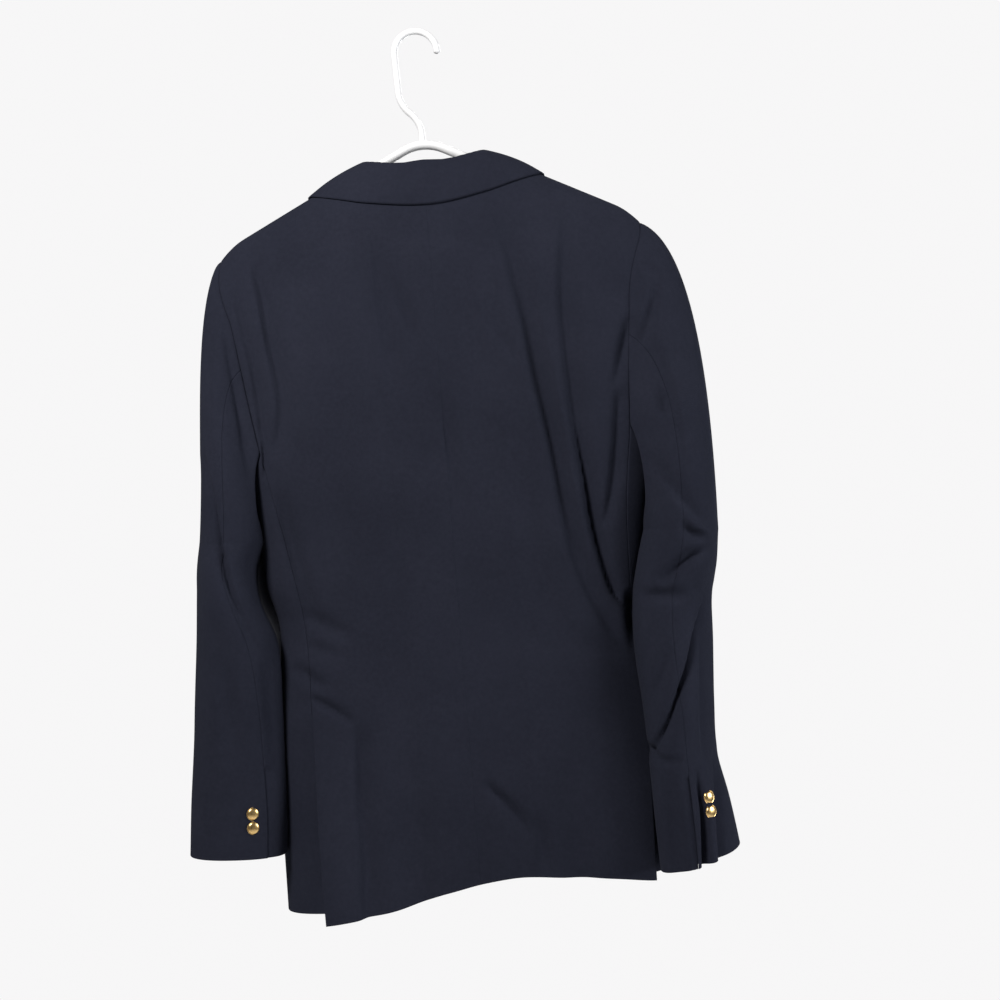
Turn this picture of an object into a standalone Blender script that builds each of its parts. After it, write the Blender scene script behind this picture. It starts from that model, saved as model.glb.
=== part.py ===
"""A navy blazer hanging on a white plastic hanger, its back towards -Y.

Metres, +Z up. The origin is the point under the top of the hook where the
hanger is held. The cloth is made of walls, one for each cut piece. Sizes are
set in the blazer's own frame, whose Z axis runs down the centre back seam,
and TILT then swings the hanger and the body about the origin, because the
hanger hangs out of true. The sleeves hang plumb from the swung armholes.
"""

import math

import bmesh
import bpy
from mathutils import Matrix, Vector

# Driving sizes, in metres
TILT = math.radians(4.6)
CLOTH_WALL = 0.0020
COLLAR_WALL = 0.0016
SEAM_GAP = 0.0003
CREASE_DOT = 0.5

SHOULDER_X = 0.232
SHOULDER_Z = -0.233
NECK_X = SHOULDER_X / 3
NECK_COLUMNS = 5
NAPE_Z = -0.178
SHOULDER_SLOPE = 0.505
SLOPE_AT_X, SLOPE_AT_Z = 0.1257, -0.1706
SHOULDER_ROUND_FROM = 0.205
RIGHT_SHOULDER_LIFT = 0.0058
SHOULDER_ROUND_DEPTH = 0.150
UNDERARM_Z = -0.450
UNDERARM_DIP = 0.034
VENT_Z = -0.7343
SIDE_HEM_Z = -0.9475
RIGHT_SIDE_LIFT = 0.0140
FRONT_HEM_DROP = 0.012
SECTION_POWER = 3.0

LAP = 0.018
BREAK_Z = -0.572
LAP_STEP = 0.0058
QUARTER_FROM = -0.720
QUARTER_SLANT = 0.10
CORNER_ROUND = 0.080

VENT_UNDERLAP = 0.032
VENT_INSET = 0.0030
FLAP_SWING = 0.026

STAND_HEIGHT = 0.027
COLLAR_ROLL = 0.0027
LAID_CLEAR = 0.0014
SEWN_CLEAR = 0.0005
EDGE_CLEAR = 0.0008

FRONT_BUTTON_LEVELS = (-0.597, -0.705)
FRONT_BUTTON_RADIUS = 0.010
CUFF_BUTTON_RADIUS = 0.0072
CUFF_BUTTON_PITCH = 0.0150

HANGER_ARM_RADIUS = 0.0050
ARM_CLEAR = 0.0014
HOOK_RADIUS = 0.0036
HOOK_INSIDE = 0.0200
HANGER_REACH = 0.196

# How finely each piece is divided
UP_ROWS = 8
LOW_ROWS = 14
VENT_ROW = UP_ROWS + 8
BACK_COLUMNS = 15
SIDE_COLUMNS = 6
FRONT_COLUMNS = 10
CAP_ROWS = 7
ARM_ROWS = 12

# The body's sections: half widths to either side of the centre back seam, and
# depths behind and before the hanger.
BODY_COLUMNS = ("level", "left", "right", "back", "front")
BODY_SECTIONS = (
    (-0.233, 0.268, 0.264, 0.052, 0.050),
    (-0.300, 0.252, 0.246, 0.057, 0.053),
    (-0.400, 0.231, 0.228, 0.060, 0.055),
    (-0.500, 0.219, 0.219, 0.060, 0.054),
    (-0.550, 0.213, 0.2120, 0.058, 0.052),
    (-0.590, 0.2105, 0.2050, 0.0565, 0.0505),
    (-0.640, 0.199, 0.196, 0.054, 0.049),
    (-0.720, 0.205, 0.200, 0.055, 0.049),
    (-0.830, 0.212, 0.206, 0.059, 0.050),
    (-0.948, 0.214, 0.207, 0.062, 0.052),
)

# Where the back and the front end at the side: at the armhole down to the
# underarm, and below it at the seams of the side panel.
EDGE_COLUMNS = ("level", "back_left", "back_right", "front")
PANEL_EDGES = (
    (-0.233, 0.2320, 0.2320, 0.232),
    (-0.250, 0.2335, 0.2290, 0.230),
    (-0.270, 0.2325, 0.2215, 0.223),
    (-0.290, 0.2275, 0.2150, 0.215),
    (-0.310, 0.2215, 0.2110, 0.208),
    (-0.350, 0.2155, 0.2075, 0.199),
    (-0.400, 0.2085, 0.2030, 0.195),
    (-0.450, 0.2005, 0.2000, 0.198),
    (-0.500, 0.1900, 0.1930, 0.186),
    (-0.550, 0.1800, 0.1885, 0.172),
    (-0.640, 0.1665, 0.1880, 0.156),
    (-0.734, 0.1665, 0.1955, 0.155),
    (-0.830, 0.1670, 0.1925, 0.160),
    (-0.948, 0.1650, 0.1890, 0.164),
)

# The back's hem, from the left vent to the right one.
HEM_COLUMNS = ("across", "hem")
BACK_HEM = (
    (-0.165, -0.9530),
    (-0.087, -0.9455),
    (-0.033, -0.9326),
    (0.038, -0.9224),
    (0.096, -0.9270),
    (0.149, -0.9328),
    (0.189, -0.9405),
)

# The largest folds of the cloth: a row for each place along a fold's line.
FOLD_COLUMNS = ("level", "across", "depth", "width")
BACK_FOLDS = (
    (
        (-0.225, 0.074, 0.0000, 0.014),
        (-0.310, 0.092, 0.0045, 0.016),
        (-0.400, 0.097, 0.0065, 0.019),
        (-0.520, 0.104, 0.0070, 0.022),
        (-0.620, 0.128, 0.0060, 0.026),
        (-0.720, 0.160, 0.0030, 0.030),
        (-0.800, 0.170, 0.0000, 0.030),
    ),
    (
        (-0.240, 0.147, 0.0000, 0.010),
        (-0.300, 0.141, 0.0055, 0.012),
        (-0.400, 0.141, 0.0070, 0.013),
        (-0.500, 0.150, 0.0085, 0.012),
        (-0.570, 0.159, 0.0085, 0.011),
        (-0.640, 0.177, 0.0040, 0.010),
        (-0.680, 0.184, 0.0000, 0.010),
    ),
    (
        (-0.255, -0.210, 0.0000, 0.009),
        (-0.300, -0.204, 0.0050, 0.010),
        (-0.360, -0.195, 0.0060, 0.011),
        (-0.440, -0.190, 0.0055, 0.011),
        (-0.520, -0.181, 0.0040, 0.012),
        (-0.600, -0.166, 0.0025, 0.013),
        (-0.660, -0.160, 0.0000, 0.013),
    ),
    (
        (-0.740, -0.118, 0.0000, 0.014),
        (-0.790, -0.118, 0.0045, 0.015),
        (-0.870, -0.122, 0.0060, 0.016),
        (-0.960, -0.126, 0.0060, 0.017),
    ),
    (
        (-0.300, -0.060, 0.0000, 0.020),
        (-0.370, -0.058, 0.0025, 0.022),
        (-0.470, -0.052, 0.0025, 0.024),
        (-0.560, -0.050, 0.0000, 0.024),
    ),
)
FRONT_FOLDS = (
    (
        (-0.260, 0.158, 0.0000, 0.014),
        (-0.340, 0.152, 0.0045, 0.016),
        (-0.440, 0.150, 0.0060, 0.018),
        (-0.560, 0.140, 0.0045, 0.020),
        (-0.660, 0.132, 0.0000, 0.020),
    ),
    (
        (-0.250, -0.165, 0.0000, 0.014),
        (-0.330, -0.160, 0.0050, 0.015),
        (-0.450, -0.156, 0.0055, 0.018),
        (-0.580, -0.146, 0.0035, 0.020),
        (-0.680, -0.140, 0.0000, 0.020),
    ),
    (
        (-0.760, 0.092, 0.0000, 0.018),
        (-0.860, 0.096, 0.0040, 0.020),
        (-0.970, 0.100, 0.0055, 0.022),
    ),
    (
        (-0.770, -0.105, 0.0000, 0.018),
        (-0.870, -0.108, 0.0045, 0.020),
        (-0.970, -0.110, 0.0050, 0.022),
    ),
)

# The sleeves' sections in the world frame, from the elbow's height down:
# centre, half sizes across and front to back, how far the section is turned,
# how far the seams have swung round it, and how far its inner front side leans
# in against the body.
SLEEVE_COLUMNS = ("level", "x", "y", "across", "deep", "turn", "swing", "lean")
SLEEVE_SECTIONS = {
    -1: (
        (-0.560, -0.2008, -0.008, 0.0327, 0.063, 4.0, 0.00, 0.032),
        (-0.590, -0.2050, -0.016, 0.0302, 0.061, 6.0, 0.01, 0.036),
        (-0.624, -0.2017, -0.024, 0.0325, 0.058, 10.0, 0.02, 0.030),
        (-0.668, -0.1905, -0.026, 0.0435, 0.053, 12.0, 0.04, 0.018),
        (-0.734, -0.1895, -0.027, 0.0460, 0.046, 12.0, 0.07, 0.014),
        (-0.777, -0.1886, -0.028, 0.0475, 0.042, 8.0, 0.09, 0.023),
        (-0.843, -0.1878, -0.030, 0.0508, 0.038, 4.0, 0.11, 0.020),
        (-0.896, -0.1880, -0.031, 0.0514, 0.037, 2.0, 0.12, 0.021),
    ),
    1: (
        (-0.545, 0.2945, -0.008, 0.0400, 0.063, 8.0, 0.00, 0.032),
        (-0.580, 0.2885, -0.012, 0.0435, 0.061, 12.0, -0.01, 0.034),
        (-0.613, 0.2842, -0.016, 0.0420, 0.059, 18.0, -0.02, 0.034),
        (-0.668, 0.2842, -0.024, 0.0413, 0.057, 20.0, -0.03, 0.022),
        (-0.734, 0.2884, -0.034, 0.0366, 0.055, 20.0, -0.05, 0.008),
        (-0.783, 0.2922, -0.040, 0.0336, 0.053, 24.0, -0.07, 0.000),
        (-0.843, 0.3020, -0.044, 0.0350, 0.052, 32.0, -0.08, 0.000),
        (-0.896, 0.3105, -0.046, 0.0350, 0.053, 38.0, -0.09, 0.000),
    ),
}
SLEEVE_POWER = 2.3
SLEEVE_CLEAR = 0.0018
HEAD_OUT = {-1: 0.060, 1: 0.100}
HEAD_PULL = {-1: 0.30, 1: 0.60}
UNDER_OUT = {-1: 0.030, 1: 0.040}
CUFF_SLOPE = {-1: 0.02, 1: 0.25}
HINDARM = 0.235
FOREARM = 0.660
CUFF_BUTTONS_UP = {-1: 0.034, 1: 0.055}
CUFF_BUTTONS_ROUND = {-1: 0.045, 1: 0.088}


def between(table, columns, column, at):
    """A smooth value from a table whose rows run along its first column."""
    if table[0][0] > table[-1][0]:
        table = table[::-1]
    keys = [row[0] for row in table]
    values = [row[columns.index(column)] for row in table]
    at = min(max(at, keys[0]), keys[-1])
    last = len(keys) - 1
    here = next(i for i in range(last) if at <= keys[i + 1])
    span = keys[here + 1] - keys[here]
    share = (at - keys[here]) / span
    slopes = []
    for i in (here, here + 1):
        low, high = max(i - 1, 0), min(i + 1, last)
        slopes.append((values[high] - values[low]) / (keys[high] - keys[low]) * span)
    square, cube = share**2, share**3
    return (
        values[here] * (2 * cube - 3 * square + 1)
        + slopes[0] * (cube - 2 * square + share)
        + values[here + 1] * (3 * square - 2 * cube)
        + slopes[1] * (cube - square)
    )


def ease(share):
    """0 below 0, 1 above 1, and smooth between."""
    share = min(max(share, 0.0), 1.0)
    return share * share * (3 - 2 * share)


def mix(start, end, share):
    return start + (end - start) * share


def swung(point):
    """A point of the blazer's own frame, in the world frame. The right
    shoulder rides a little higher than the left."""
    x, y, z = point
    high = RIGHT_SHOULDER_LIFT * ease(x / 0.13) * ease((z + 0.40) / 0.18)
    return Matrix.Rotation(-TILT, 3, "Y") @ Vector((x, y, z + high))


def side_name(side):
    return "left" if side < 0 else "right"


# The body's surface
def half_width(level, side):
    return between(BODY_SECTIONS, BODY_COLUMNS, side_name(side), level)


def ridge(x):
    """The shoulder line's height, carried on to the centre."""
    reach = abs(x)
    line = SLOPE_AT_Z - SHOULDER_SLOPE * (reach - SLOPE_AT_X)
    at_end = SLOPE_AT_Z - SHOULDER_SLOPE * (SHOULDER_X - SLOPE_AT_X)
    over = max(reach - SHOULDER_ROUND_FROM, 0) / (SHOULDER_X - SHOULDER_ROUND_FROM)
    return line + (SHOULDER_Z - at_end) * over**2


def neckline(x):
    """The back neck's seam, from the nape up to the shoulder seam."""
    share = min(abs(x) / NECK_X, 1.0)
    return mix(NAPE_Z, ridge(NECK_X), share**2.4)


def fold_depth(folds, x, level):
    """How far the cloth falls in at a point, from all the folds of one side."""
    total = 0.0
    for fold in folds:
        if not fold[-1][0] <= level <= fold[0][0]:
            continue
        line = between(fold, FOLD_COLUMNS, "across", level)
        depth = between(fold, FOLD_COLUMNS, "depth", level)
        width = between(fold, FOLD_COLUMNS, "width", level)
        off = (x - line) / width
        total += depth * (1.25 * math.exp(-off * off) - 0.25 * math.exp(-(off / 2.4) ** 2))
    return total


def sheet(x, level, face):
    """The cloth's depth at a point of the back (face -1) or the front (face 1)."""
    name = "back" if face < 0 else "front"
    depth = between(BODY_SECTIONS, BODY_COLUMNS, name, level)
    drop = min(max(ridge(x) - level, 0.0) / SHOULDER_ROUND_DEPTH, 1.0)
    crown = math.sqrt(1 - (1 - drop) ** 2)
    reach = min(abs(x) / half_width(level, 1 if x > 0 else -1), 1.0)
    edge = (1 - reach**SECTION_POWER) ** (1 / SECTION_POWER)
    folds = BACK_FOLDS if face < 0 else FRONT_FOLDS
    return face * (depth * crown * edge - fold_depth(folds, x, level) * min(edge * 1.6, 1.0))


def body_point(x, level, face):
    return Vector((x, sheet(x, level, face), level))


def levels():
    """The heights that every panel shares at its side edge, tip to hem."""
    upper = [
        mix(SHOULDER_Z, UNDERARM_Z, (row / UP_ROWS) ** 1.7) for row in range(UP_ROWS + 1)
    ]
    lower = [
        mix(UNDERARM_Z, SIDE_HEM_Z, (row + 1) / LOW_ROWS) for row in range(LOW_ROWS)
    ]
    return upper + lower


def share_down(level):
    return (SHOULDER_Z - level) / (SHOULDER_Z - SIDE_HEM_Z)


def edge_x(column, level):
    return between(PANEL_EDGES, EDGE_COLUMNS, column, level)


def back_grid(side):
    """Half of the back, from the centre seam out to the armhole and vent."""
    grid = []
    for row, level in enumerate(levels()):
        loose = ease((row - VENT_ROW) / (UP_ROWS + LOW_ROWS - VENT_ROW))
        line = []
        for column in range(BACK_COLUMNS + 1):
            across = column / BACK_COLUMNS
            x = side * across * edge_x("back_" + side_name(side), level)
            top_x = across * SHOULDER_X
            top = neckline(top_x) if top_x < NECK_X else ridge(top_x)
            hem = between(BACK_HEM, HEM_COLUMNS, "hem", x)
            z = mix(top, SIDE_HEM_Z, share_down(level)) + (hem - SIDE_HEM_Z) * loose
            point = body_point(x, z, -1)
            swing = FLAP_SWING if side < 0 else FLAP_SWING * 0.25
            point.y -= swing * loose * ease((across - 0.35) / 0.65)
            point.y -= VENT_INSET * 0.5 * ease(loose * 8) * ease((across - 0.6) / 0.4)
            line.append(point)
        grid.append(line)
    return grid


def side_lift(level, side):
    """How much higher the right side hangs, from the vent's top to the hem."""
    if side < 0:
        return 0.0
    return RIGHT_SIDE_LIFT * ease((VENT_Z - level) / (VENT_Z - SIDE_HEM_Z))


def front_edge(level):
    """The front edge's distance to its own side of the centre: the roll line
    from the neck to the break, the slanting edge, and the round corner."""
    if level > BREAK_Z:
        share = (ridge(NECK_X) - level) / (ridge(NECK_X) - BREAK_Z)
        return mix(NECK_X, -LAP, share) + 0.006 * math.sin(math.pi * share)
    slant = -LAP + QUARTER_SLANT * max(QUARTER_FROM - level, 0.0) ** 1.3
    low = front_low() + CORNER_ROUND
    inside = min(max(low - level, 0.0) / CORNER_ROUND, 1.0)
    return slant + CORNER_ROUND * (1 - math.sqrt(1 - inside**2))


def front_low():
    return SIDE_HEM_Z - FRONT_HEM_DROP


def front_hem(across):
    """The hem's point at a share from the corner's middle to the side."""
    start = front_edge(front_low() + CORNER_ROUND * (1 - math.sqrt(0.5)))
    x = mix(start, edge_x("front", SIDE_HEM_Z), across)
    round_end = start + CORNER_ROUND * math.sqrt(0.5)
    inside = min(max(round_end - x, 0.0) / CORNER_ROUND, 1.0)
    flat = SIDE_HEM_Z - FRONT_HEM_DROP * ease((1 - across) * 1.5)
    return flat + CORNER_ROUND * (1 - math.sqrt(1 - inside**2))


def front_point(x, z, side):
    """A point of a front, x to its own side, with the left one lapped over."""
    point = body_point(side * x, z, 1)
    lapped = ease((ridge(NECK_X) - z) / 0.2) * ease(1 - (x - 0.03) / 0.06)
    point.y += LAP_STEP * lapped * (0.6 if side < 0 else -0.4)
    return point


def front_grid(side):
    """A front, from its edge out to the armhole and the side seam."""
    grid = []
    for level in levels():
        outer = edge_x("front", level)
        down = share_down(level)
        inner = front_edge(mix(ridge(NECK_X), front_hem(0.0), down))
        line = []
        for column in range(FRONT_COLUMNS + 1):
            across = column / FRONT_COLUMNS
            top = ridge(mix(NECK_X, SHOULDER_X, across))
            z = mix(top, front_hem(across), down) + side_lift(level, side)
            line.append(front_point(mix(inner, outer, across), z, side))
        grid.append(line)
    return grid


def side_rows():
    """The side panel's heights, with one more row just under the vent's top."""
    rows = [(level, 0.0, 0.0) for level in levels()[UP_ROWS : VENT_ROW + 1]]
    rows.append((VENT_Z - 0.003, 1.0, 0.0))
    for level in levels()[VENT_ROW + 1 :]:
        rows.append((level, 1.0, 1.0))
    return rows


def side_grid(side):
    """The side panel, from the back seam round to the front one. Below the
    vent's top it runs on under the back."""
    grid = []
    for level, inset, underlap in side_rows():
        back_x = edge_x("back_" + side_name(side), level) - VENT_UNDERLAP * underlap
        front_x = edge_x("front", level)
        width = half_width(level, side)
        power = SECTION_POWER / 2
        start = -math.acos(min(back_x / width, 1.0) ** power)
        end = math.acos(min(front_x / width, 1.0) ** power)
        line = []
        for column in range(SIDE_COLUMNS + 1):
            across = column / SIDE_COLUMNS
            angle = mix(start, end, across)
            top = UNDERARM_Z - UNDERARM_DIP * math.sin(math.pi * across) ** 0.8
            share = (UNDERARM_Z - level) / (UNDERARM_Z - SIDE_HEM_Z)
            z = mix(top, SIDE_HEM_Z, share) + side_lift(level, side)
            x = side * half_width(z, side) * math.cos(angle) ** (1 / power)
            if column in (0, SIDE_COLUMNS):
                x = side * (back_x if column == 0 else front_x)
            point = body_point(x, z, -1 if angle < 0 else 1)
            point.y += VENT_INSET * inset * ease(1 - across * 3)
            line.append(point)
        grid.append(line)
    return grid


# The sleeves
def armhole(backs, fronts, sides, side):
    """The armhole's points in the world frame: the tip, down the back, along
    the underarm, and up the front."""
    back = [backs[side][row][-1] for row in range(UP_ROWS + 1)]
    under = sides[side][0][1:-1]
    front = [fronts[side][row][-1] for row in range(UP_ROWS, 0, -1)]
    return [swung(point) for point in back + under + front]


def loop_shares(points):
    """How far round a closed loop each point lies, from 0 to 1."""
    lengths = [
        (points[i] - points[i - 1]).length if i else 0.0 for i in range(len(points))
    ]
    whole = sum(lengths) + (points[0] - points[-1]).length
    return [sum(lengths[: i + 1]) / whole for i in range(len(points))]


def sleeve_row(level, side):
    return [
        between(SLEEVE_SECTIONS[side], SLEEVE_COLUMNS, name, level)
        for name in SLEEVE_COLUMNS[1:]
    ]


def sleeve_point(level, share, side):
    """A point of the sleeve's tube: share 0 is its outer side, 0.25 its back,
    0.5 the side next to the body."""
    x, y, across, deep, turn, swing, lean = sleeve_row(level, side)
    angle = 2 * math.pi * (share + swing)
    cos, sin = math.cos(angle), math.sin(angle)
    power = 2 / SLEEVE_POWER
    inner_front = 3.08 * max(-sin, 0.0) ** 3 * max(-cos, 0.0)
    local = Vector(
        (
            side * across * math.copysign(abs(cos) ** power, cos)
            - side * lean * inner_front,
            -deep * math.copysign(abs(sin) ** power, sin),
            0.0,
        )
    )
    local.rotate(Matrix.Rotation(-side * math.radians(turn), 3, "Z"))
    return Vector((x, y, level)) + local


def beside_body(point, side, clear):
    """The point, moved out of the body's side where it would enter it."""
    own = Matrix.Rotation(TILT, 3, "Y") @ point
    face = "back" if own.y < 0 else "front"
    depth = between(BODY_SECTIONS, BODY_COLUMNS, face, own.z) + clear
    off = min(abs(own.y) / depth, 1.0)
    limit = half_width(own.z, side) * (1 - off**SECTION_POWER) ** (1 / SECTION_POWER)
    short = limit + clear - side * own.x
    short *= ease((UNDERARM_Z + 0.010 - own.z) / 0.030)
    if short <= 0 or limit <= 0:
        return point
    own.x += side * short
    return Matrix.Rotation(-TILT, 3, "Y") @ own


def sleeve_grid(loop, side):
    """The sleeve's tube, from the armhole over the sleeve head to the cuff."""
    shares = loop_shares(loop)
    top = SLEEVE_SECTIONS[side][0][0]
    cuff = SLEEVE_SECTIONS[side][-1][0]
    middle = sum(loop, Vector()) / len(loop)
    head_out, under_out = HEAD_OUT[side], UNDER_OUT[side]
    tall = max(point.z for point in loop) - middle.z
    grid = [list(loop)]
    for row in range(1, CAP_ROWS + 1):
        along = row / CAP_ROWS
        line = []
        for start, share in zip(loop, shares):
            end = sleeve_point(top, share, side)
            reach = (end - start).length
            high = min(max((start.z - middle.z) / tall, -1.0), 1.0) * 0.5 + 0.5
            leave = Vector((side * mix(under_out, head_out, high), 0.0, -0.035))
            leave.y = (start.y - middle.y) * 0.55
            leave.z += min((start.z - middle.z) * 0.4, 0.0)
            leave = leave.normalized() * reach * mix(1.0, HEAD_PULL[side], high)
            arrive = Vector((side * 0.05, 0.0, -1.0)) * reach * 0.9
            square, cube = along**2, along**3
            point = (
                start * (2 * cube - 3 * square + 1)
                + leave * (cube - 2 * square + along)
                + end * (3 * square - 2 * cube)
                + arrive * (cube - square)
            )
            line.append(beside_body(point, side, SLEEVE_CLEAR * ease(along * 2)))
        grid.append(line)
    for row in range(1, ARM_ROWS + 1):
        level = mix(top, cuff, row / ARM_ROWS)
        low = ease((row / ARM_ROWS - 0.6) / 0.4)
        line = []
        for share in shares:
            point = sleeve_point(level, share, side)
            point = beside_body(point, side, SLEEVE_CLEAR)
            point.z += (point.x - sleeve_row(level, side)[0]) * CUFF_SLOPE[side] * low
            line.append(point)
        grid.append(line)
    return grid


# Walls of cloth
def key_of(point):
    return tuple(round(value * 1e5) for value in point)


def add_normals(normals, grid, sign, closed=False):
    """Adds each face's outward direction to its corners."""
    columns = len(grid[0])
    for row in range(len(grid) - 1):
        for column in range(columns if closed else columns - 1):
            after = (column + 1) % columns
            a, b = grid[row][column], grid[row][after]
            c, d = grid[row + 1][after], grid[row + 1][column]
            outward = (c - a).cross(d - b) * sign
            for corner in (a, b, c, d):
                key = key_of(corner)
                normals[key] = normals.get(key, Vector()) + outward


def drawn_in(grid, gap):
    """The grid with its rim moved in by half a seam's gap."""
    rows, columns = len(grid), len(grid[0])
    moved = []
    for row in range(rows):
        line = []
        for column in range(columns):
            point = grid[row][column].copy()
            pulls = []
            if column in (0, columns - 1):
                pulls.append(grid[row][1 if column == 0 else columns - 2])
            if row in (0, rows - 1):
                pulls.append(grid[1 if row == 0 else rows - 2][column])
            for inner in pulls:
                point += (inner - grid[row][column]).normalized() * gap / 2
            line.append(point)
        moved.append(line)
    return moved


def ways_out(grid, own, others):
    """Each point's way out of the cloth. Pieces that meet in a smooth surface
    share it at their seam, and those that meet in a crease keep their own."""
    ways = []
    for line in grid:
        row = []
        for point in line:
            way = own[key_of(point)].normalized()
            other = others.get(key_of(point))
            if other is not None:
                shared = ease(way.dot(other.normalized()) / CREASE_DOT)
                way = (way + other.normalized() * shared).normalized()
            row.append(way)
        ways.append(row)
    return ways


def off_the_body(grid, own, others):
    """The sleeve's grid with its seam lifted off the body in the armpit, where
    the two pieces lie face to face."""
    line = []
    for point in grid[0]:
        away = others[key_of(point)].normalized()
        creased = 1 - ease(own[key_of(point)].normalized().dot(away) / CREASE_DOT)
        line.append(point + away * SEAM_GAP * 1.5 * creased)
    return [line] + grid[1:]


def close_rim(mesh, here, there):
    """Two triangles of the rim. Both walls at a seam split theirs the same way,
    from the lower outer corner, so that the gap between them stays even."""
    if here[0].co.z > there[0].co.z:
        here, there = there, here
    mesh.faces.new((here[0], there[0], there[1]))
    mesh.faces.new((here[0], there[1], here[1]))


def wall(name, grid, ways, thickness, material, gap=SEAM_GAP * 1.2):
    """A closed wall: the grid's outer face, an inner face and the rim."""
    rows, columns = len(grid), len(grid[0])
    outer_points = drawn_in(grid, gap)
    mesh = bmesh.new()
    outer, inner = [], []
    for line, row_ways in zip(outer_points, ways):
        outer.append([mesh.verts.new(point) for point in line])
        inner.append(
            [mesh.verts.new(point - way * thickness) for point, way in zip(line, row_ways)]
        )
    for row in range(rows - 1):
        for column in range(columns - 1):
            for face in (outer, inner):
                mesh.faces.new(
                    (
                        face[row][column],
                        face[row][column + 1],
                        face[row + 1][column + 1],
                        face[row + 1][column],
                    )
                )
    rim = [(0, column) for column in range(columns)]
    rim += [(row, columns - 1) for row in range(1, rows)]
    rim += [(rows - 1, column) for column in range(columns - 2, -1, -1)]
    rim += [(row, 0) for row in range(rows - 2, 0, -1)]
    for here, there in zip(rim, rim[1:] + rim[:1]):
        close_rim(
            mesh,
            (outer[here[0]][here[1]], inner[here[0]][here[1]]),
            (outer[there[0]][there[1]], inner[there[0]][there[1]]),
        )
    bmesh.ops.recalc_face_normals(mesh, faces=mesh.faces)
    return finished(name, mesh, material)


def finished(name, mesh, material):
    data = bpy.data.meshes.new(name)
    mesh.to_mesh(data)
    mesh.free()
    data.shade_smooth()
    data.set_sharp_from_angle(angle=math.radians(50))
    data.materials.append(material)
    made = bpy.data.objects.new(name, data)
    PARTS.objects.link(made)
    return made


def loose_wall(name, grid, sign, thickness, material):
    """A wall that shares no seam: its normals come from its own grid."""
    normals = {}
    add_normals(normals, grid, sign)
    return wall(name, grid, ways_out(grid, normals, {}), thickness, material, gap=0.0)


def laid_on(points_2d, side, lifts):
    """A grid on a front, moved out along its normal by its rows' lifts."""
    grid = []
    for line, lift in zip(points_2d, lifts):
        row = []
        for x, z in line:
            here = front_point(x, z, side)
            along_x = front_point(x + 0.004, z, side) - here
            along_z = front_point(x, z - 0.004, side) - here
            out = along_x.cross(along_z) * side
            row.append(swung(here + out.normalized() * lift))
        grid.append(row)
    return grid


# Collar and lapels: the collar's leaf edge, its stand's share of the full
# height, and the way out from the cloth, from the back's middle to the gorge.
COLLAR_COLUMNS = ("station", "leaf_x", "leaf_z", "stand", "out_x", "out_y", "out_z")
COLLAR_STATIONS = (
    (-0.24, -0.062, -0.1905, 0.78, -0.20, -1.00, 0.42),
    (0.00, 0.000, -0.1980, 1.00, 0.00, -1.00, 0.20),
    (0.24, 0.062, -0.1905, 0.78, 0.20, -1.00, 0.42),
    (0.40, 0.100, -0.1810, 0.48, 0.50, -1.00, 1.05),
    (0.46, 0.116, -0.1765, 0.40, 0.80, -0.60, 1.60),
    (0.52, 0.130, -0.1730, 0.33, 0.45, 0.00, 0.89),
    (0.66, 0.132, -0.1960, 0.26, 0.35, 0.80, 0.60),
    (0.86, 0.120, -0.2230, 0.16, 0.15, 1.00, 0.30),
    (1.00, 0.100, -0.2440, 0.12, 0.10, 1.00, 0.20),
)
SHOULDER_STATION = 0.52
GORGE_Z = -0.231
GORGE_DROP = 0.033
COLLAR_STEPS = 14
LAPEL_WIDTH = 0.088
LAPEL_ROWS = 12


def collar_seam(station):
    """The neck seam: along the back neck, then down the front's roll line."""
    if station <= SHOULDER_STATION:
        along = NECK_COLUMNS * math.sin(math.pi / 2 * station / SHOULDER_STATION)
        before = min(int(along), NECK_COLUMNS - 1)
        low, high = (
            body_point(NECK_X * i / NECK_COLUMNS, neckline(NECK_X * i / NECK_COLUMNS), -1)
            for i in (before, before + 1)
        )
        return low.lerp(high, along - before)
    down = (station - SHOULDER_STATION) / (1 - SHOULDER_STATION)
    level = mix(ridge(NECK_X), GORGE_Z, down)
    return front_point(front_edge(level), level, 1)


def collar_section(station):
    """The collar's shown face at a station: up the stand, over the roll, and
    down the fall to the leaf's edge."""
    seam = collar_seam(station)
    _, leaf_x, leaf_z, stand, *way = [
        between(COLLAR_STATIONS, COLLAR_COLUMNS, name, station)
        for name in COLLAR_COLUMNS
    ]
    out = Vector(way).normalized()
    step = 0.01 if station < 0.9 else -0.01
    along = (collar_seam(station + step) - seam) * math.copysign(1, step)
    rise = along.cross(out).normalized()
    if rise.x > 0.5 or rise.z < -0.5:
        rise = -rise
    leaf_z = min(leaf_z, ridge(leaf_x) - 0.0005)
    face = -1 if station < SHOULDER_STATION else 1
    leaf = body_point(leaf_x, leaf_z, face) + out * (LAID_CLEAR + COLLAR_WALL) * 1.5
    low = seam - out * CLOTH_WALL * 0.5 + rise * EDGE_CLEAR
    high = low + rise * STAND_HEIGHT * stand
    roll = high + (out + rise) * COLLAR_ROLL
    over = high + out * COLLAR_ROLL * 2
    line = [low, low.lerp(high, 0.5), high, roll, over]
    for share in (0.33, 0.66, 1.0):
        bow = math.sin(math.pi * share) * 0.0030
        line.append(over.lerp(leaf, share) + out * bow)
    return line


def build_collar(material):
    half = [collar_section(step / COLLAR_STEPS) for step in range(COLLAR_STEPS + 1)]
    flip = Vector((-1, 1, 1))
    left = [[point * flip for point in line] for line in half[:0:-1]]
    grid = [[swung(point) for point in line] for line in left + half]
    loose_wall("collar", grid, 1, COLLAR_WALL, material)


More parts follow.
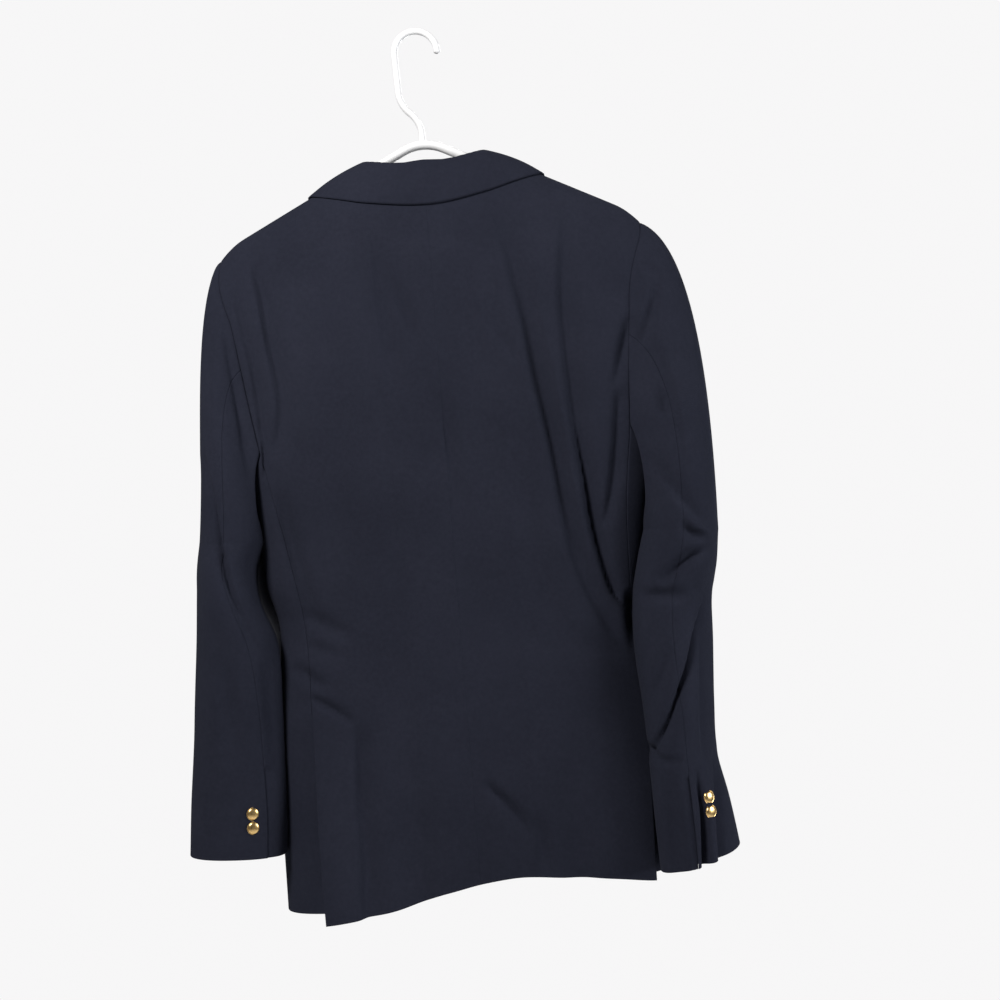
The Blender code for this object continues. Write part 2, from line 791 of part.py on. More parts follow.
LAPEL_COLUMNS = ("across", "beyond", "lift")
LAPEL_SECTION = (
    (0.00, 0.0024, -0.0020),
    (0.00, 0.0024, 0.0008),
    (0.00, 0.0006, 0.0029),
    (0.18, 0.0000, 0.0031),
    (0.45, 0.0000, 0.0031),
    (0.72, 0.0000, 0.0031),
    (1.00, 0.0000, 0.0029),
)


def lapel_width(level):
    share = (level - BREAK_Z) / (GORGE_Z - BREAK_Z)
    return LAPEL_WIDTH * math.sin(math.pi / 2 * min(share * 1.04, 1.0)) ** 0.85


def build_lapel(side, material):
    """A lapel: the front's cloth rolled round its edge and laid on the chest."""
    grid = []
    for row in range(LAPEL_ROWS + 1):
        down = row / LAPEL_ROWS
        level = mix(GORGE_Z - 0.0010, BREAK_Z + 0.012, down)
        width = max(lapel_width(level), 0.010)
        line = []
        for across, beyond, lift in LAPEL_SECTION:
            x = front_edge(level) + across * width
            z = level - GORGE_DROP * across * (1 - down) ** 2
            here = front_point(x, z, side)
            here.x -= side * beyond
            here.y += lift
            line.append(swung(here))
        grid.append(line)
    loose_wall("lapel_" + side_name(side), grid, side, COLLAR_WALL, material)


# Buttons
def turned(name, profile, place, way, material):
    """A turned solid on a place, its axis along the direction given."""
    mesh = bmesh.new()
    verts = [mesh.verts.new((radius, 0.0, height)) for radius, height in profile]
    for low, high in zip(verts, verts[1:]):
        mesh.edges.new((low, high))
    data = bpy.data.meshes.new(name)
    mesh.to_mesh(data)
    mesh.free()
    data.materials.append(material)
    made = bpy.data.objects.new(name, data)
    PARTS.objects.link(made)
    screw = made.modifiers.new("Turn", "SCREW")
    screw.axis = "Z"
    screw.steps = screw.render_steps = 16
    screw.use_merge_vertices = True
    screw.merge_threshold = 0.00001
    screw.use_smooth_shade = True
    made.location = place
    made.rotation_mode = "QUATERNION"
    made.rotation_quaternion = Vector(way).to_track_quat("Z", "Y")
    return made


def button_profile(radius):
    """A domed blazer button: its rim, and the shank that meets the cloth.
    It runs from the dome's middle down the outer side to the axis below."""
    rise, rim, shank = radius * 0.34, radius * 0.10, radius * 0.22
    dome = [
        (radius * 0.93 * math.sin(a), rim + shank + rise * math.cos(a) - rise * 0.1)
        for a in [math.pi / 2 * step / 4 for step in range(5)]
    ]
    dome[0] = (0.0, dome[0][1])
    under = [
        (radius, shank + rim * 0.6),
        (radius * 0.97, shank),
        (radius * 0.30, shank),
        (radius * 0.26, 0.0),
        (0.0, 0.0),
    ]
    return dome + under


def on_cloth(cloth, near):
    """The cloth's own point nearest to the one given, and its way out."""
    _, place, out, _ = cloth.closest_point_on_mesh(near)
    return place + out * SEAM_GAP, out


def build_front_buttons(cloth, material):
    for count, level in enumerate(FRONT_BUTTON_LEVELS, 1):
        near = swung(front_point(0.0, level, -1) + Vector((0.0, 0.003, 0.0)))
        place, out = on_cloth(cloth, near)
        profile = button_profile(FRONT_BUTTON_RADIUS)
        turned(f"front_button_{count}", profile, place, out, material)


def build_cuff_buttons(cloth, side, material):
    """Two buttons by the cuff's vent, on the top sleeve."""
    for count in range(2):
        cuff = SLEEVE_SECTIONS[side][-1][0]
        level = cuff + CUFF_BUTTONS_UP[side] + CUFF_BUTTON_PITCH * count
        near = sleeve_point(level, HINDARM - CUFF_BUTTONS_ROUND[side], side)
        place, out = on_cloth(cloth, near)
        profile = button_profile(CUFF_BUTTON_RADIUS)
        turned(f"cuff_button_{side_name(side)}_{count + 1}", profile, place, out, material)


# The hanger
def tube(name, points, radius, cyclic=False):
    """A round plastic tube along a smooth line through the points."""
    curve = bpy.data.curves.new(name, "CURVE")
    curve.dimensions = "3D"
    curve.bevel_depth = radius
    curve.bevel_resolution = 2
    curve.use_fill_caps = True
    spline = curve.splines.new("POLY")
    spline.points.add(len(points) - 1)
    for knot, point in zip(spline.points, points):
        knot.co = (*swung(point), 1.0)
    spline.use_cyclic_u = cyclic
    made = bpy.data.objects.new(name, curve)
    bpy.context.scene.collection.objects.link(made)
    return made


def as_mesh(made):
    """The curve object as a closed mesh object of the same shape."""
    bpy.context.view_layer.update()
    seen = made.evaluated_get(bpy.context.evaluated_depsgraph_get())
    data = bpy.data.meshes.new_from_object(seen)
    mesh = bmesh.new()
    mesh.from_mesh(data)
    bmesh.ops.remove_doubles(mesh, verts=mesh.verts, dist=0.00001)
    bmesh.ops.recalc_face_normals(mesh, faces=mesh.faces)
    mesh.to_mesh(data)
    mesh.free()
    name = made.name
    bpy.data.objects.remove(made)
    return bpy.data.objects.new(name, data)


def arm_height(x):
    """The hanger's arm under the shoulder seam, clear of the cloth."""
    below = (CLOTH_WALL + ARM_CLEAR + HANGER_ARM_RADIUS) * math.hypot(1, SHOULDER_SLOPE)
    return SLOPE_AT_Z - SHOULDER_SLOPE * (abs(x) - SLOPE_AT_X) - below


def arc(centre, radius, start, end, steps):
    """Points of an arc in the hanger's plane, in degrees from +X."""
    angles = [math.radians(mix(start, end, step / steps)) for step in range(steps + 1)]
    return [
        (centre[0] + radius * math.cos(a), 0.0, centre[1] + radius * math.sin(a))
        for a in angles
    ]


def build_hanger(material):
    """The frame with its bottom bar, and the hook that rises from its neck."""
    end_round, neck_x = 0.016, 0.020
    slope = math.degrees(math.atan(SHOULDER_SLOPE))
    end_centre = (
        HANGER_REACH - end_round,
        arm_height(HANGER_REACH - end_round) - end_round / math.cos(math.radians(slope)),
    )
    half = [(0.0, 0.0, arm_height(neck_x) + 0.001), (neck_x * 0.6, 0.0, arm_height(neck_x) + 0.0008)]
    half += [(x, 0.0, arm_height(x)) for x in (0.030, 0.070, 0.110, 0.150)]
    half += arc(end_centre, end_round, 90 - slope, -90, 7)
    half += [(0.120, 0.0, end_centre[1] - end_round), (0.060, 0.0, end_centre[1] - end_round)]
    mirrored = [(-x, y, z) for x, y, z in reversed(half[1:])]
    frame = as_mesh(tube("hanger", half + mirrored, HANGER_ARM_RADIUS, cyclic=True))
    PARTS.objects.link(frame)

    middle = HOOK_INSIDE + HOOK_RADIUS
    hook = arc((0.0, -HOOK_INSIDE), middle, -4, 180, 16)
    hook += [
        (-0.0228, 0.0, -0.036),
        (-0.0219, 0.0, -0.052),
        (-0.0206, 0.0, -0.068),
        (-0.0180, 0.0, -0.080),
        (-0.0120, 0.0, -0.0905),
        (-0.0050, 0.0, -0.0995),
        (-0.0010, 0.0, -0.110),
        (0.0, 0.0, arm_height(neck_x)),
    ]
    stem = as_mesh(tube("hanger_hook_tool", hook, HOOK_RADIUS))
    TOOLS.objects.link(stem)
    stem.hide_render = True
    stem.display_type = "WIRE"
    union = frame.modifiers.new("Hook", "BOOLEAN")
    union.operation = "UNION"
    union.object = stem
    frame.data.materials.clear()
    frame.data.materials.append(material)
    frame.data.shade_smooth()


# Pockets
def flat_grid(low_x, high_x, top, bottom, columns, rows, slope=0.0):
    """Points over a rectangle of the front, in its own side's x and in z."""
    return [
        [
            (
                mix(low_x, high_x, column / columns),
                mix(top, bottom, row / rows) + slope * column / columns,
            )
            for column in range(columns + 1)
        ]
        for row in range(rows + 1)
    ]


def build_pockets(material):
    """A flap on each front, sewn down along its top, and the breast welt."""
    sewn, loose = COLLAR_WALL + SEWN_CLEAR, COLLAR_WALL + LAID_CLEAR
    for side in (-1, 1):
        points = flat_grid(0.040, 0.149, -0.722, -0.776, 8, 4, slope=0.003)
        grid = laid_on(points, side, (sewn, loose, loose, loose, loose))
        loose_wall("pocket_flap_" + side_name(side), grid, side, COLLAR_WALL, material)
    points = flat_grid(0.110, 0.186, -0.378, -0.402, 6, 2, slope=0.012)
    grid = laid_on(points, -1, (loose, loose, loose))
    loose_wall("breast_welt", grid, -1, COLLAR_WALL, material)


# Materials and the whole
def plain_material(name, colour, roughness, metallic=0.0):
    material = bpy.data.materials.new(name)
    material.use_nodes = True
    surface = material.node_tree.nodes["Principled BSDF"]
    surface.inputs["Base Color"].default_value = (*colour, 1.0)
    surface.inputs["Roughness"].default_value = roughness
    surface.inputs["Metallic"].default_value = metallic
    return material


def clear_scene():
    for made in list(bpy.data.objects):
        bpy.data.objects.remove(made)


def new_collection(name):
    made = bpy.data.collections.new(name)
    bpy.context.scene.collection.children.link(made)
    return made


def build_cloth(material):
    backs = {side: back_grid(side) for side in (-1, 1)}
    fronts = {side: front_grid(side) for side in (-1, 1)}
    sides = {side: side_grid(side) for side in (-1, 1)}
    sleeves = {
        side: sleeve_grid(armhole(backs, fronts, sides, side), side) for side in (-1, 1)
    }
    body_ways, sleeve_ways = {}, {}
    body, arms = [], []
    for side in (-1, 1):
        name = side_name(side)
        for label, grids, sign in (
            ("back_", backs, -side),
            ("front_", fronts, side),
            ("side_panel_", sides, -side),
        ):
            grid = [[swung(point) for point in line] for line in grids[side]]
            add_normals(body_ways, grid, sign)
            body.append((label + name, grid))
        tube_grid = sleeves[side]
        add_normals(sleeve_ways, tube_grid, side, closed=True)
        shares = loop_shares(tube_grid[0])
        hind = min(range(len(shares)), key=lambda i: abs(shares[i] - HINDARM))
        fore = min(range(len(shares)), key=lambda i: abs(shares[i] - FOREARM))
        under = [line[hind : fore + 1] for line in tube_grid]
        top = [line[fore:] + line[: hind + 1] for line in tube_grid]
        arms.append(("top_sleeve_" + name, top))
        arms.append(("under_sleeve_" + name, under))
    made = {}
    for name, grid in body:
        ways = ways_out(grid, body_ways, sleeve_ways)
        made[name] = wall(name, grid, ways, CLOTH_WALL, material)
    for name, grid in arms:
        ways = ways_out(grid, sleeve_ways, body_ways)
        grid = off_the_body(grid, sleeve_ways, body_ways)
        made[name] = wall(name, grid, ways, CLOTH_WALL, material)
    return made


clear_scene()
PARTS = new_collection("blazer_on_hanger")
TOOLS = new_collection("cutters")
WOOL = plain_material("navy_wool", (0.020, 0.022, 0.036), 0.9)
GILT = plain_material("gilt_metal", (0.80, 0.55, 0.22), 0.3, metallic=1.0)
PLASTIC = plain_material("white_plastic", (0.86, 0.86, 0.87), 0.35)

CLOTH = build_cloth(WOOL)
build_collar(WOOL)
for garment_side in (-1, 1):
    build_lapel(garment_side, WOOL)
    top_sleeve = CLOTH["top_sleeve_" + side_name(garment_side)]
    build_cuff_buttons(top_sleeve, garment_side, GILT)
build_pockets(WOOL)
build_front_buttons(CLOTH["front_left"], GILT)
build_hanger(PLASTIC)
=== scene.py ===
# %% [markdown]
# # A navy blazer on a hanger
# A men's blazer hangs on a white tubular hanger, its back towards -Y. Each cut
# piece of cloth is a thin sheet here, hung where its solid is in the packed
# part. Metal and plastic are modelled by hand with edit mode operators. This
# first cell loads the imported part.

# %% Load the frame
import math

import bmesh
import bpy
import numpy as np
from mathutils import Matrix, Vector


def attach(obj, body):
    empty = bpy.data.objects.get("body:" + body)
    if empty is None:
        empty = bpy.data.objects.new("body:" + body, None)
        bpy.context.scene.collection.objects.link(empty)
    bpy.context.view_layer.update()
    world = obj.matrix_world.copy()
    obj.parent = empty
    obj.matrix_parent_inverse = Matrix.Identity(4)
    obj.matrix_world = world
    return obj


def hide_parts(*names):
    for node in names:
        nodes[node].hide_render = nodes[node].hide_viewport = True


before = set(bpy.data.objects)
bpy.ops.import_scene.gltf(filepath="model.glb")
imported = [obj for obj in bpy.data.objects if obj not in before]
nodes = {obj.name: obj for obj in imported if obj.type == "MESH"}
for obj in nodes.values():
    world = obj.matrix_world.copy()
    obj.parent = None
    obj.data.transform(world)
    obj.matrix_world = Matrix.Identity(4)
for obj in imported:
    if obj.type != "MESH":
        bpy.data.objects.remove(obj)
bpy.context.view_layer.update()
print("nodes in the frame:", len(nodes))

# %% [markdown]
# ## The view
# The camera stands 1.65 m behind the blazer, level with its waist, and looks
# straight ahead, so that upright lines stay upright. A field of view of 37
# degrees makes the shape the size it should be in a square picture.

# %% Camera
FIELD_OF_VIEW = math.radians(37.0)
CAMERA_PLACE = (0.095, -1.65, -0.514)

lens = bpy.data.cameras.new("view")
lens.sensor_width = 36.0
lens.lens = lens.sensor_width / 2 / math.tan(FIELD_OF_VIEW / 2)
lens.clip_start = 0.05
camera = bpy.data.objects.new("view", lens)
camera.location = CAMERA_PLACE
camera.rotation_euler = (math.radians(90), 0.0, 0.0)
bpy.context.scene.collection.objects.link(camera)
bpy.context.scene.camera = camera
print("lens, mm:", round(lens.lens, 2))

# %% [markdown]
# ## Light, floor and room
# Dark wool shows its folds only where light comes from one side, so a soft key
# lamp stands high on the left. A broader lamp fills from the right, and a third
# lights the side that faces away. The world looks pale to the camera but gives
# the cloth only a little light. A wide pale floor lies well below the hems.

# %% Lamps, world and floor
KEY_WATTS = 39.0
FILL_WATTS = 30.0
FAR_WATTS = 50.0
ROOM_STRENGTH = 0.08
SEEN_STRENGTH = 0.93
FLOOR_Z = -1.74
FLOOR_HALF = 2.4
FLOOR_Y = -0.6
PALE = (1.0, 0.995, 1.0, 1.0)
AIM = Vector((0.03, 0.0, -0.50))


def area_lamp(name, place, size, watts, colour):
    """A square soft lamp that points at the blazer's middle."""
    light = bpy.data.lights.new(name, "AREA")
    light.energy = watts
    light.size = size
    light.color = colour
    lamp = bpy.data.objects.new(name, light)
    lamp.location = place
    lamp.rotation_euler = (AIM - Vector(place)).to_track_quat("-Z", "Y").to_euler()
    bpy.context.scene.collection.objects.link(lamp)
    return lamp


area_lamp("key", (-0.74, -1.22, 0.56), 0.42, KEY_WATTS, (1.0, 0.99, 0.97))
area_lamp("fill", (1.95, -0.55, -0.25), 0.9, FILL_WATTS, (0.96, 0.98, 1.0))
area_lamp("far_side", (0.60, 2.20, 0.40), 1.2, FAR_WATTS, (1.0, 1.0, 1.0))

world = bpy.data.worlds.new("pale_room")
world.use_nodes = True
tree = world.node_tree
room, ending = tree.nodes["Background"], tree.nodes["World Output"]
seen = tree.nodes.new("ShaderNodeBackground")
for sky, strength in ((room, ROOM_STRENGTH), (seen, SEEN_STRENGTH)):
    sky.inputs["Color"].default_value = PALE
    sky.inputs["Strength"].default_value = strength
either = tree.nodes.new("ShaderNodeMixShader")
rays = tree.nodes.new("ShaderNodeLightPath")
tree.links.new(rays.outputs["Is Camera Ray"], either.inputs["Fac"])
tree.links.new(room.outputs["Background"], either.inputs[1])
tree.links.new(seen.outputs["Background"], either.inputs[2])
tree.links.new(either.outputs["Shader"], ending.inputs["Surface"])
bpy.context.scene.world = world
bpy.context.scene.view_settings.view_transform = "Standard"


def plain_finish(name, colour, roughness):
    """A material with one colour, for things that aren't the blazer."""
    material = bpy.data.materials.new(name)
    material.use_nodes = True
    surface = material.node_tree.nodes["Principled BSDF"]
    surface.inputs["Base Color"].default_value = (*colour, 1.0)
    surface.inputs["Roughness"].default_value = roughness
    return material


bpy.ops.object.select_all(action="DESELECT")
bpy.ops.mesh.primitive_plane_add(size=FLOOR_HALF * 2, location=(0.0, FLOOR_Y, FLOOR_Z))
floor = bpy.context.object
floor.name = "floor"
bpy.ops.object.transform_apply(location=True, rotation=True, scale=True)
floor.data.materials.append(plain_finish("pale_floor", (0.92, 0.92, 0.92), 0.6))
print("floor at", FLOOR_Z)

# %% [markdown]
# ## Small helpers for smooth shapes
# A garment's sizes are a short table of measures at some heights. between()
# gives a smooth curve through one column of such a table, for one height or
# for a whole array of them, and ease() fades from 0 to 1 with soft ends. Both
# between() and the sleeve heads run along curve(), a cubic from one place to
# another whose slopes at its ends are given.

# %% Curves through tables


def curve(start, leave, end, arrive, share):
    """From start to end, leaving and arriving with the given slopes."""
    square, cube = share**2, share**3
    return (
        start * (2 * cube - 3 * square + 1)
        + leave * (cube - 2 * square + share)
        + end * (3 * square - 2 * cube)
        + arrive * (cube - square)
    )


def between(table, columns, column, at):
    """A smooth value from a table whose rows run along its first column."""
    rows = sorted(table)
    keys = np.array([row[0] for row in rows])
    values = np.array([row[columns.index(column)] for row in rows])
    last = len(keys) - 1
    at = np.clip(at, keys[0], keys[-1])
    here = np.clip(np.searchsorted(keys, at) - 1, 0, last - 1)
    low = np.maximum(np.arange(last + 1) - 1, 0)
    high = np.minimum(np.arange(last + 1) + 1, last)
    slopes = (values[high] - values[low]) / (keys[high] - keys[low])
    span = keys[here + 1] - keys[here]
    leave, arrive = slopes[here] * span, slopes[here + 1] * span
    return curve(values[here], leave, values[here + 1], arrive, (at - keys[here]) / span)


def ease(share):
    """0 below 0, 1 above 1, and smooth between."""
    share = np.clip(share, 0.0, 1.0)
    return share * share * (3 - 2 * share)


def mix(start, end, share):
    return start + (end - start) * share


SEAM_PLACES = (0.0, 0.0005, 0.0011, 0.0020, 0.0033)


def spread(width, step):
    """Places from 0 to 1 across a width, close together by both edges, where
    a seam's groove needs them, and a step apart between."""
    edge = np.array(SEAM_PLACES) / width
    count = max(int(round((1 - 2 * edge[-1]) * width / step)), 2)
    middle = np.linspace(edge[-1], 1 - edge[-1], count + 1)
    return np.concatenate([edge[:-1], middle, (1 - edge[:-1])[::-1]])


def stack(x, y, z):
    x, y, z = np.broadcast_arrays(x, y, z)
    return np.stack([x, y, z], axis=-1).astype(float)


# %% [markdown]
# ## The blazer's measures
# These are the same measures that the solids are made from: a frame that
# hangs out of true, the shoulder line, half widths and depths at some heights,
# and the lines where one panel ends and the next begins.

# %% Driving sizes, in metres
TILT = math.radians(4.6)
SHOULDER_X = 0.232
SHOULDER_Z = -0.233
NECK_X = SHOULDER_X / 3
NAPE_Z = -0.178
SHOULDER_SLOPE = 0.505
SLOPE_AT_X, SLOPE_AT_Z = 0.1257, -0.1706
SHOULDER_ROUND_FROM = 0.205
RIGHT_SHOULDER_LIFT = 0.0058
LIFT_WHOLE_AT_X = 0.13
LIFT_FROM_Z, LIFT_OVER = -0.40, 0.18
NECK_CURVE = 2.4
SHOULDER_ROUND_DEPTH = 0.150
UNDERARM_Z = -0.450
UNDERARM_DIP = 0.034
VENT_Z = -0.7343
SIDE_HEM_Z = -0.9475
RIGHT_SIDE_LIFT = 0.0140
FRONT_HEM_DROP = 0.012
FRONT_LOW_Z = SIDE_HEM_Z - FRONT_HEM_DROP
SECTION_POWER = 3.0
LAP = 0.018
BREAK_Z = -0.572
LAP_STEP = 0.0058
QUARTER_FROM = -0.720
QUARTER_SLANT = 0.10
CORNER_ROUND = 0.080
VENT_UNDERLAP = 0.032
VENT_INSET = 0.0030
FLAP_SWING = 0.026

BODY_COLUMNS = ("level", "left", "right", "back", "front")
BODY_SECTIONS = (
    (-0.233, 0.268, 0.264, 0.052, 0.050),
    (-0.300, 0.252, 0.246, 0.057, 0.053),
    (-0.400, 0.231, 0.228, 0.060, 0.055),
    (-0.500, 0.219, 0.2225, 0.060, 0.054),
    (-0.550, 0.213, 0.2120, 0.058, 0.052),
    (-0.590, 0.2105, 0.2050, 0.0565, 0.0505),
    (-0.640, 0.199, 0.196, 0.054, 0.049),
    (-0.720, 0.205, 0.200, 0.055, 0.049),
    (-0.830, 0.212, 0.206, 0.059, 0.050),
    (-0.948, 0.214, 0.207, 0.062, 0.052),
)

EDGE_COLUMNS = ("level", "back_left", "back_right", "front")
PANEL_EDGES = (
    (-0.233, 0.2320, 0.2320, 0.232),
    (-0.250, 0.2335, 0.2290, 0.230),
    (-0.270, 0.2325, 0.2215, 0.223),
    (-0.290, 0.2275, 0.2150, 0.215),
    (-0.310, 0.2215, 0.2110, 0.208),
    (-0.350, 0.2155, 0.2075, 0.199),
    (-0.400, 0.2085, 0.2030, 0.195),
    (-0.450, 0.2005, 0.2000, 0.198),
    (-0.500, 0.1900, 0.1930, 0.186),
    (-0.550, 0.1800, 0.1885, 0.172),
    (-0.640, 0.1665, 0.1880, 0.156),
    (-0.734, 0.1665, 0.1955, 0.155),
    (-0.830, 0.1670, 0.1925, 0.160),
    (-0.948, 0.1650, 0.1890, 0.164),
)

HEM_COLUMNS = ("across", "hem")
BACK_HEM = (
    (-0.165, -0.9530),
    (-0.087, -0.9455),
    (-0.033, -0.9326),
    (0.038, -0.9224),
    (0.096, -0.9270),
    (0.149, -0.9328),
    (0.189, -0.9405),
)


def side_name(side):
    return "left" if side < 0 else "right"


def swung(points):
    """Points of the blazer's own frame, in the world frame. The right
    shoulder rides a little higher than the left."""
    x, y, z = points[..., 0], points[..., 1], points[..., 2]
    high = ease((z - LIFT_FROM_Z) / LIFT_OVER)
    z = z + RIGHT_SHOULDER_LIFT * ease(x / LIFT_WHOLE_AT_X) * high
    cos, sin = math.cos(TILT), math.sin(TILT)
    return stack(x * cos - z * sin, y, x * sin + z * cos)


def upright(points):
    """World points in the blazer's own frame, without the shoulder's lift."""
    x, y, z = points[..., 0], points[..., 1], points[..., 2]
    cos, sin = math.cos(TILT), math.sin(TILT)
    return stack(x * cos + z * sin, y, -x * sin + z * cos)


print("body levels in the table:", len(BODY_SECTIONS))

# %% [markdown]
# ## Folds and creases
# Hanging cloth falls into troughs that run from where it is held to where it
# is slack. Each is a line of places with a depth and a width at each place. A
# soft trough has round sides, a sharp one has a narrow bottom, a drawn one is
# steep on one side and slack on the other, and one with a lip has cloth lying
# over cloth on that side of the line. The back has the ones that show, each in
# its place, and the front, which nobody sees here, has a few of the same kind.
# The tables are in millimetres, which in_metres() turns into metres.

# %% Troughs along a line
CREASE_SAMPLES = 14
CREASE_REACH = 6.0
SOFT_PEAK, SOFT_RISE = 1.25, 2.4
SHARP_PEAK, SHARP_RISE, SHARP_ROUND, SHARP_FALL = 1.15, 3.2, 0.12, 1.5
STEEP_SIDE, SLACK_SIDE, SLACK_POWER = 0.55, 1.5, 1.6
LIP_EDGE, LIP_FALL = 0.22, 1.1


def in_metres(*folds):
    """Folds, each a kind and then its places: level, across, depth, width."""
    return [(kind, np.array(places) / 1000) for kind, *places in folds]


def smooth_rows(rows):
    """A table's rows, with more rows between them on smooth curves."""
    rows = np.array(rows, float)
    ends = np.vstack([2 * rows[0] - rows[1], rows, 2 * rows[-1] - rows[-2]])
    out = []
    for i in range(len(rows) - 1):
        a, b, c, d = ends[i : i + 4]
        t = np.linspace(0, 1, CREASE_SAMPLES, endpoint=False)[:, None]
        out.append(
            0.5
            * (
                2 * b
                + (c - a) * t
                + (2 * a - 5 * b + 4 * c - d) * t**2
                + (3 * b - a - 3 * c + d) * t**3
            )
        )
    return np.vstack(out + [rows[-1:]])


def trough(kind, off):
    """How deep a trough is at a distance from its line, in widths."""
    if kind == "soft":
        beside = (SOFT_PEAK - 1) * np.exp(-((off / SOFT_RISE) ** 2))
        return SOFT_PEAK * np.exp(-(off**2)) - beside
    if kind == "sharp":
        beside = (SHARP_PEAK - 1) * np.exp(-((off / SHARP_RISE) ** 2))
        round_off = np.sqrt(off**2 + SHARP_ROUND**2) - SHARP_ROUND
        return SHARP_PEAK * np.exp(-SHARP_FALL * round_off) - beside
    over = off if kind.endswith("right") else -off
    if kind.startswith("drawn"):
        steep, slack = np.minimum(over, 0) / STEEP_SIDE, np.maximum(over, 0) / SLACK_SIDE
        return np.exp(-(steep**2)) * np.exp(-(slack**SLACK_POWER))
    return np.where(over < 0, np.exp(-((over / LIP_EDGE) ** 2)), np.exp(-over / LIP_FALL))


def crease_depth(creases, x, z):
    """How far all these creases sink the cloth at the given places."""
    x, z = np.broadcast_arrays(x, z)
    total = np.zeros(x.shape)
    for kind, rows in creases:
        line = smooth_rows(rows)
        level, across, depths, widths = line.T
        reach = CREASE_REACH * widths.max()
        near = (x > across.min() - reach) & (x < across.max() + reach)
        near &= (z > level.min() - reach) & (z < level.max() + reach)
        if not near.any():
            continue
        px, pz = x[near][:, None] - across, z[near][:, None] - level
        which = np.argmin(px**2 + pz**2, axis=1)
        along = np.gradient(line[:, :2], axis=0)
        length = np.hypot(along[:, 0], along[:, 1])[which]
        row = np.arange(len(which))
        dx, dz = px[row, which], pz[row, which]
        tx, tz = along[which, 1] / length, along[which, 0] / length
        off = tx * dz - tz * dx
        place = np.clip(which + (tx * dx + tz * dz) / length, 0, len(line) - 1)
        depth = np.interp(place, np.arange(len(line)), depths)
        width = np.interp(place, np.arange(len(line)), widths)
        total[near] += depth * trough(kind, off / width)
    return total


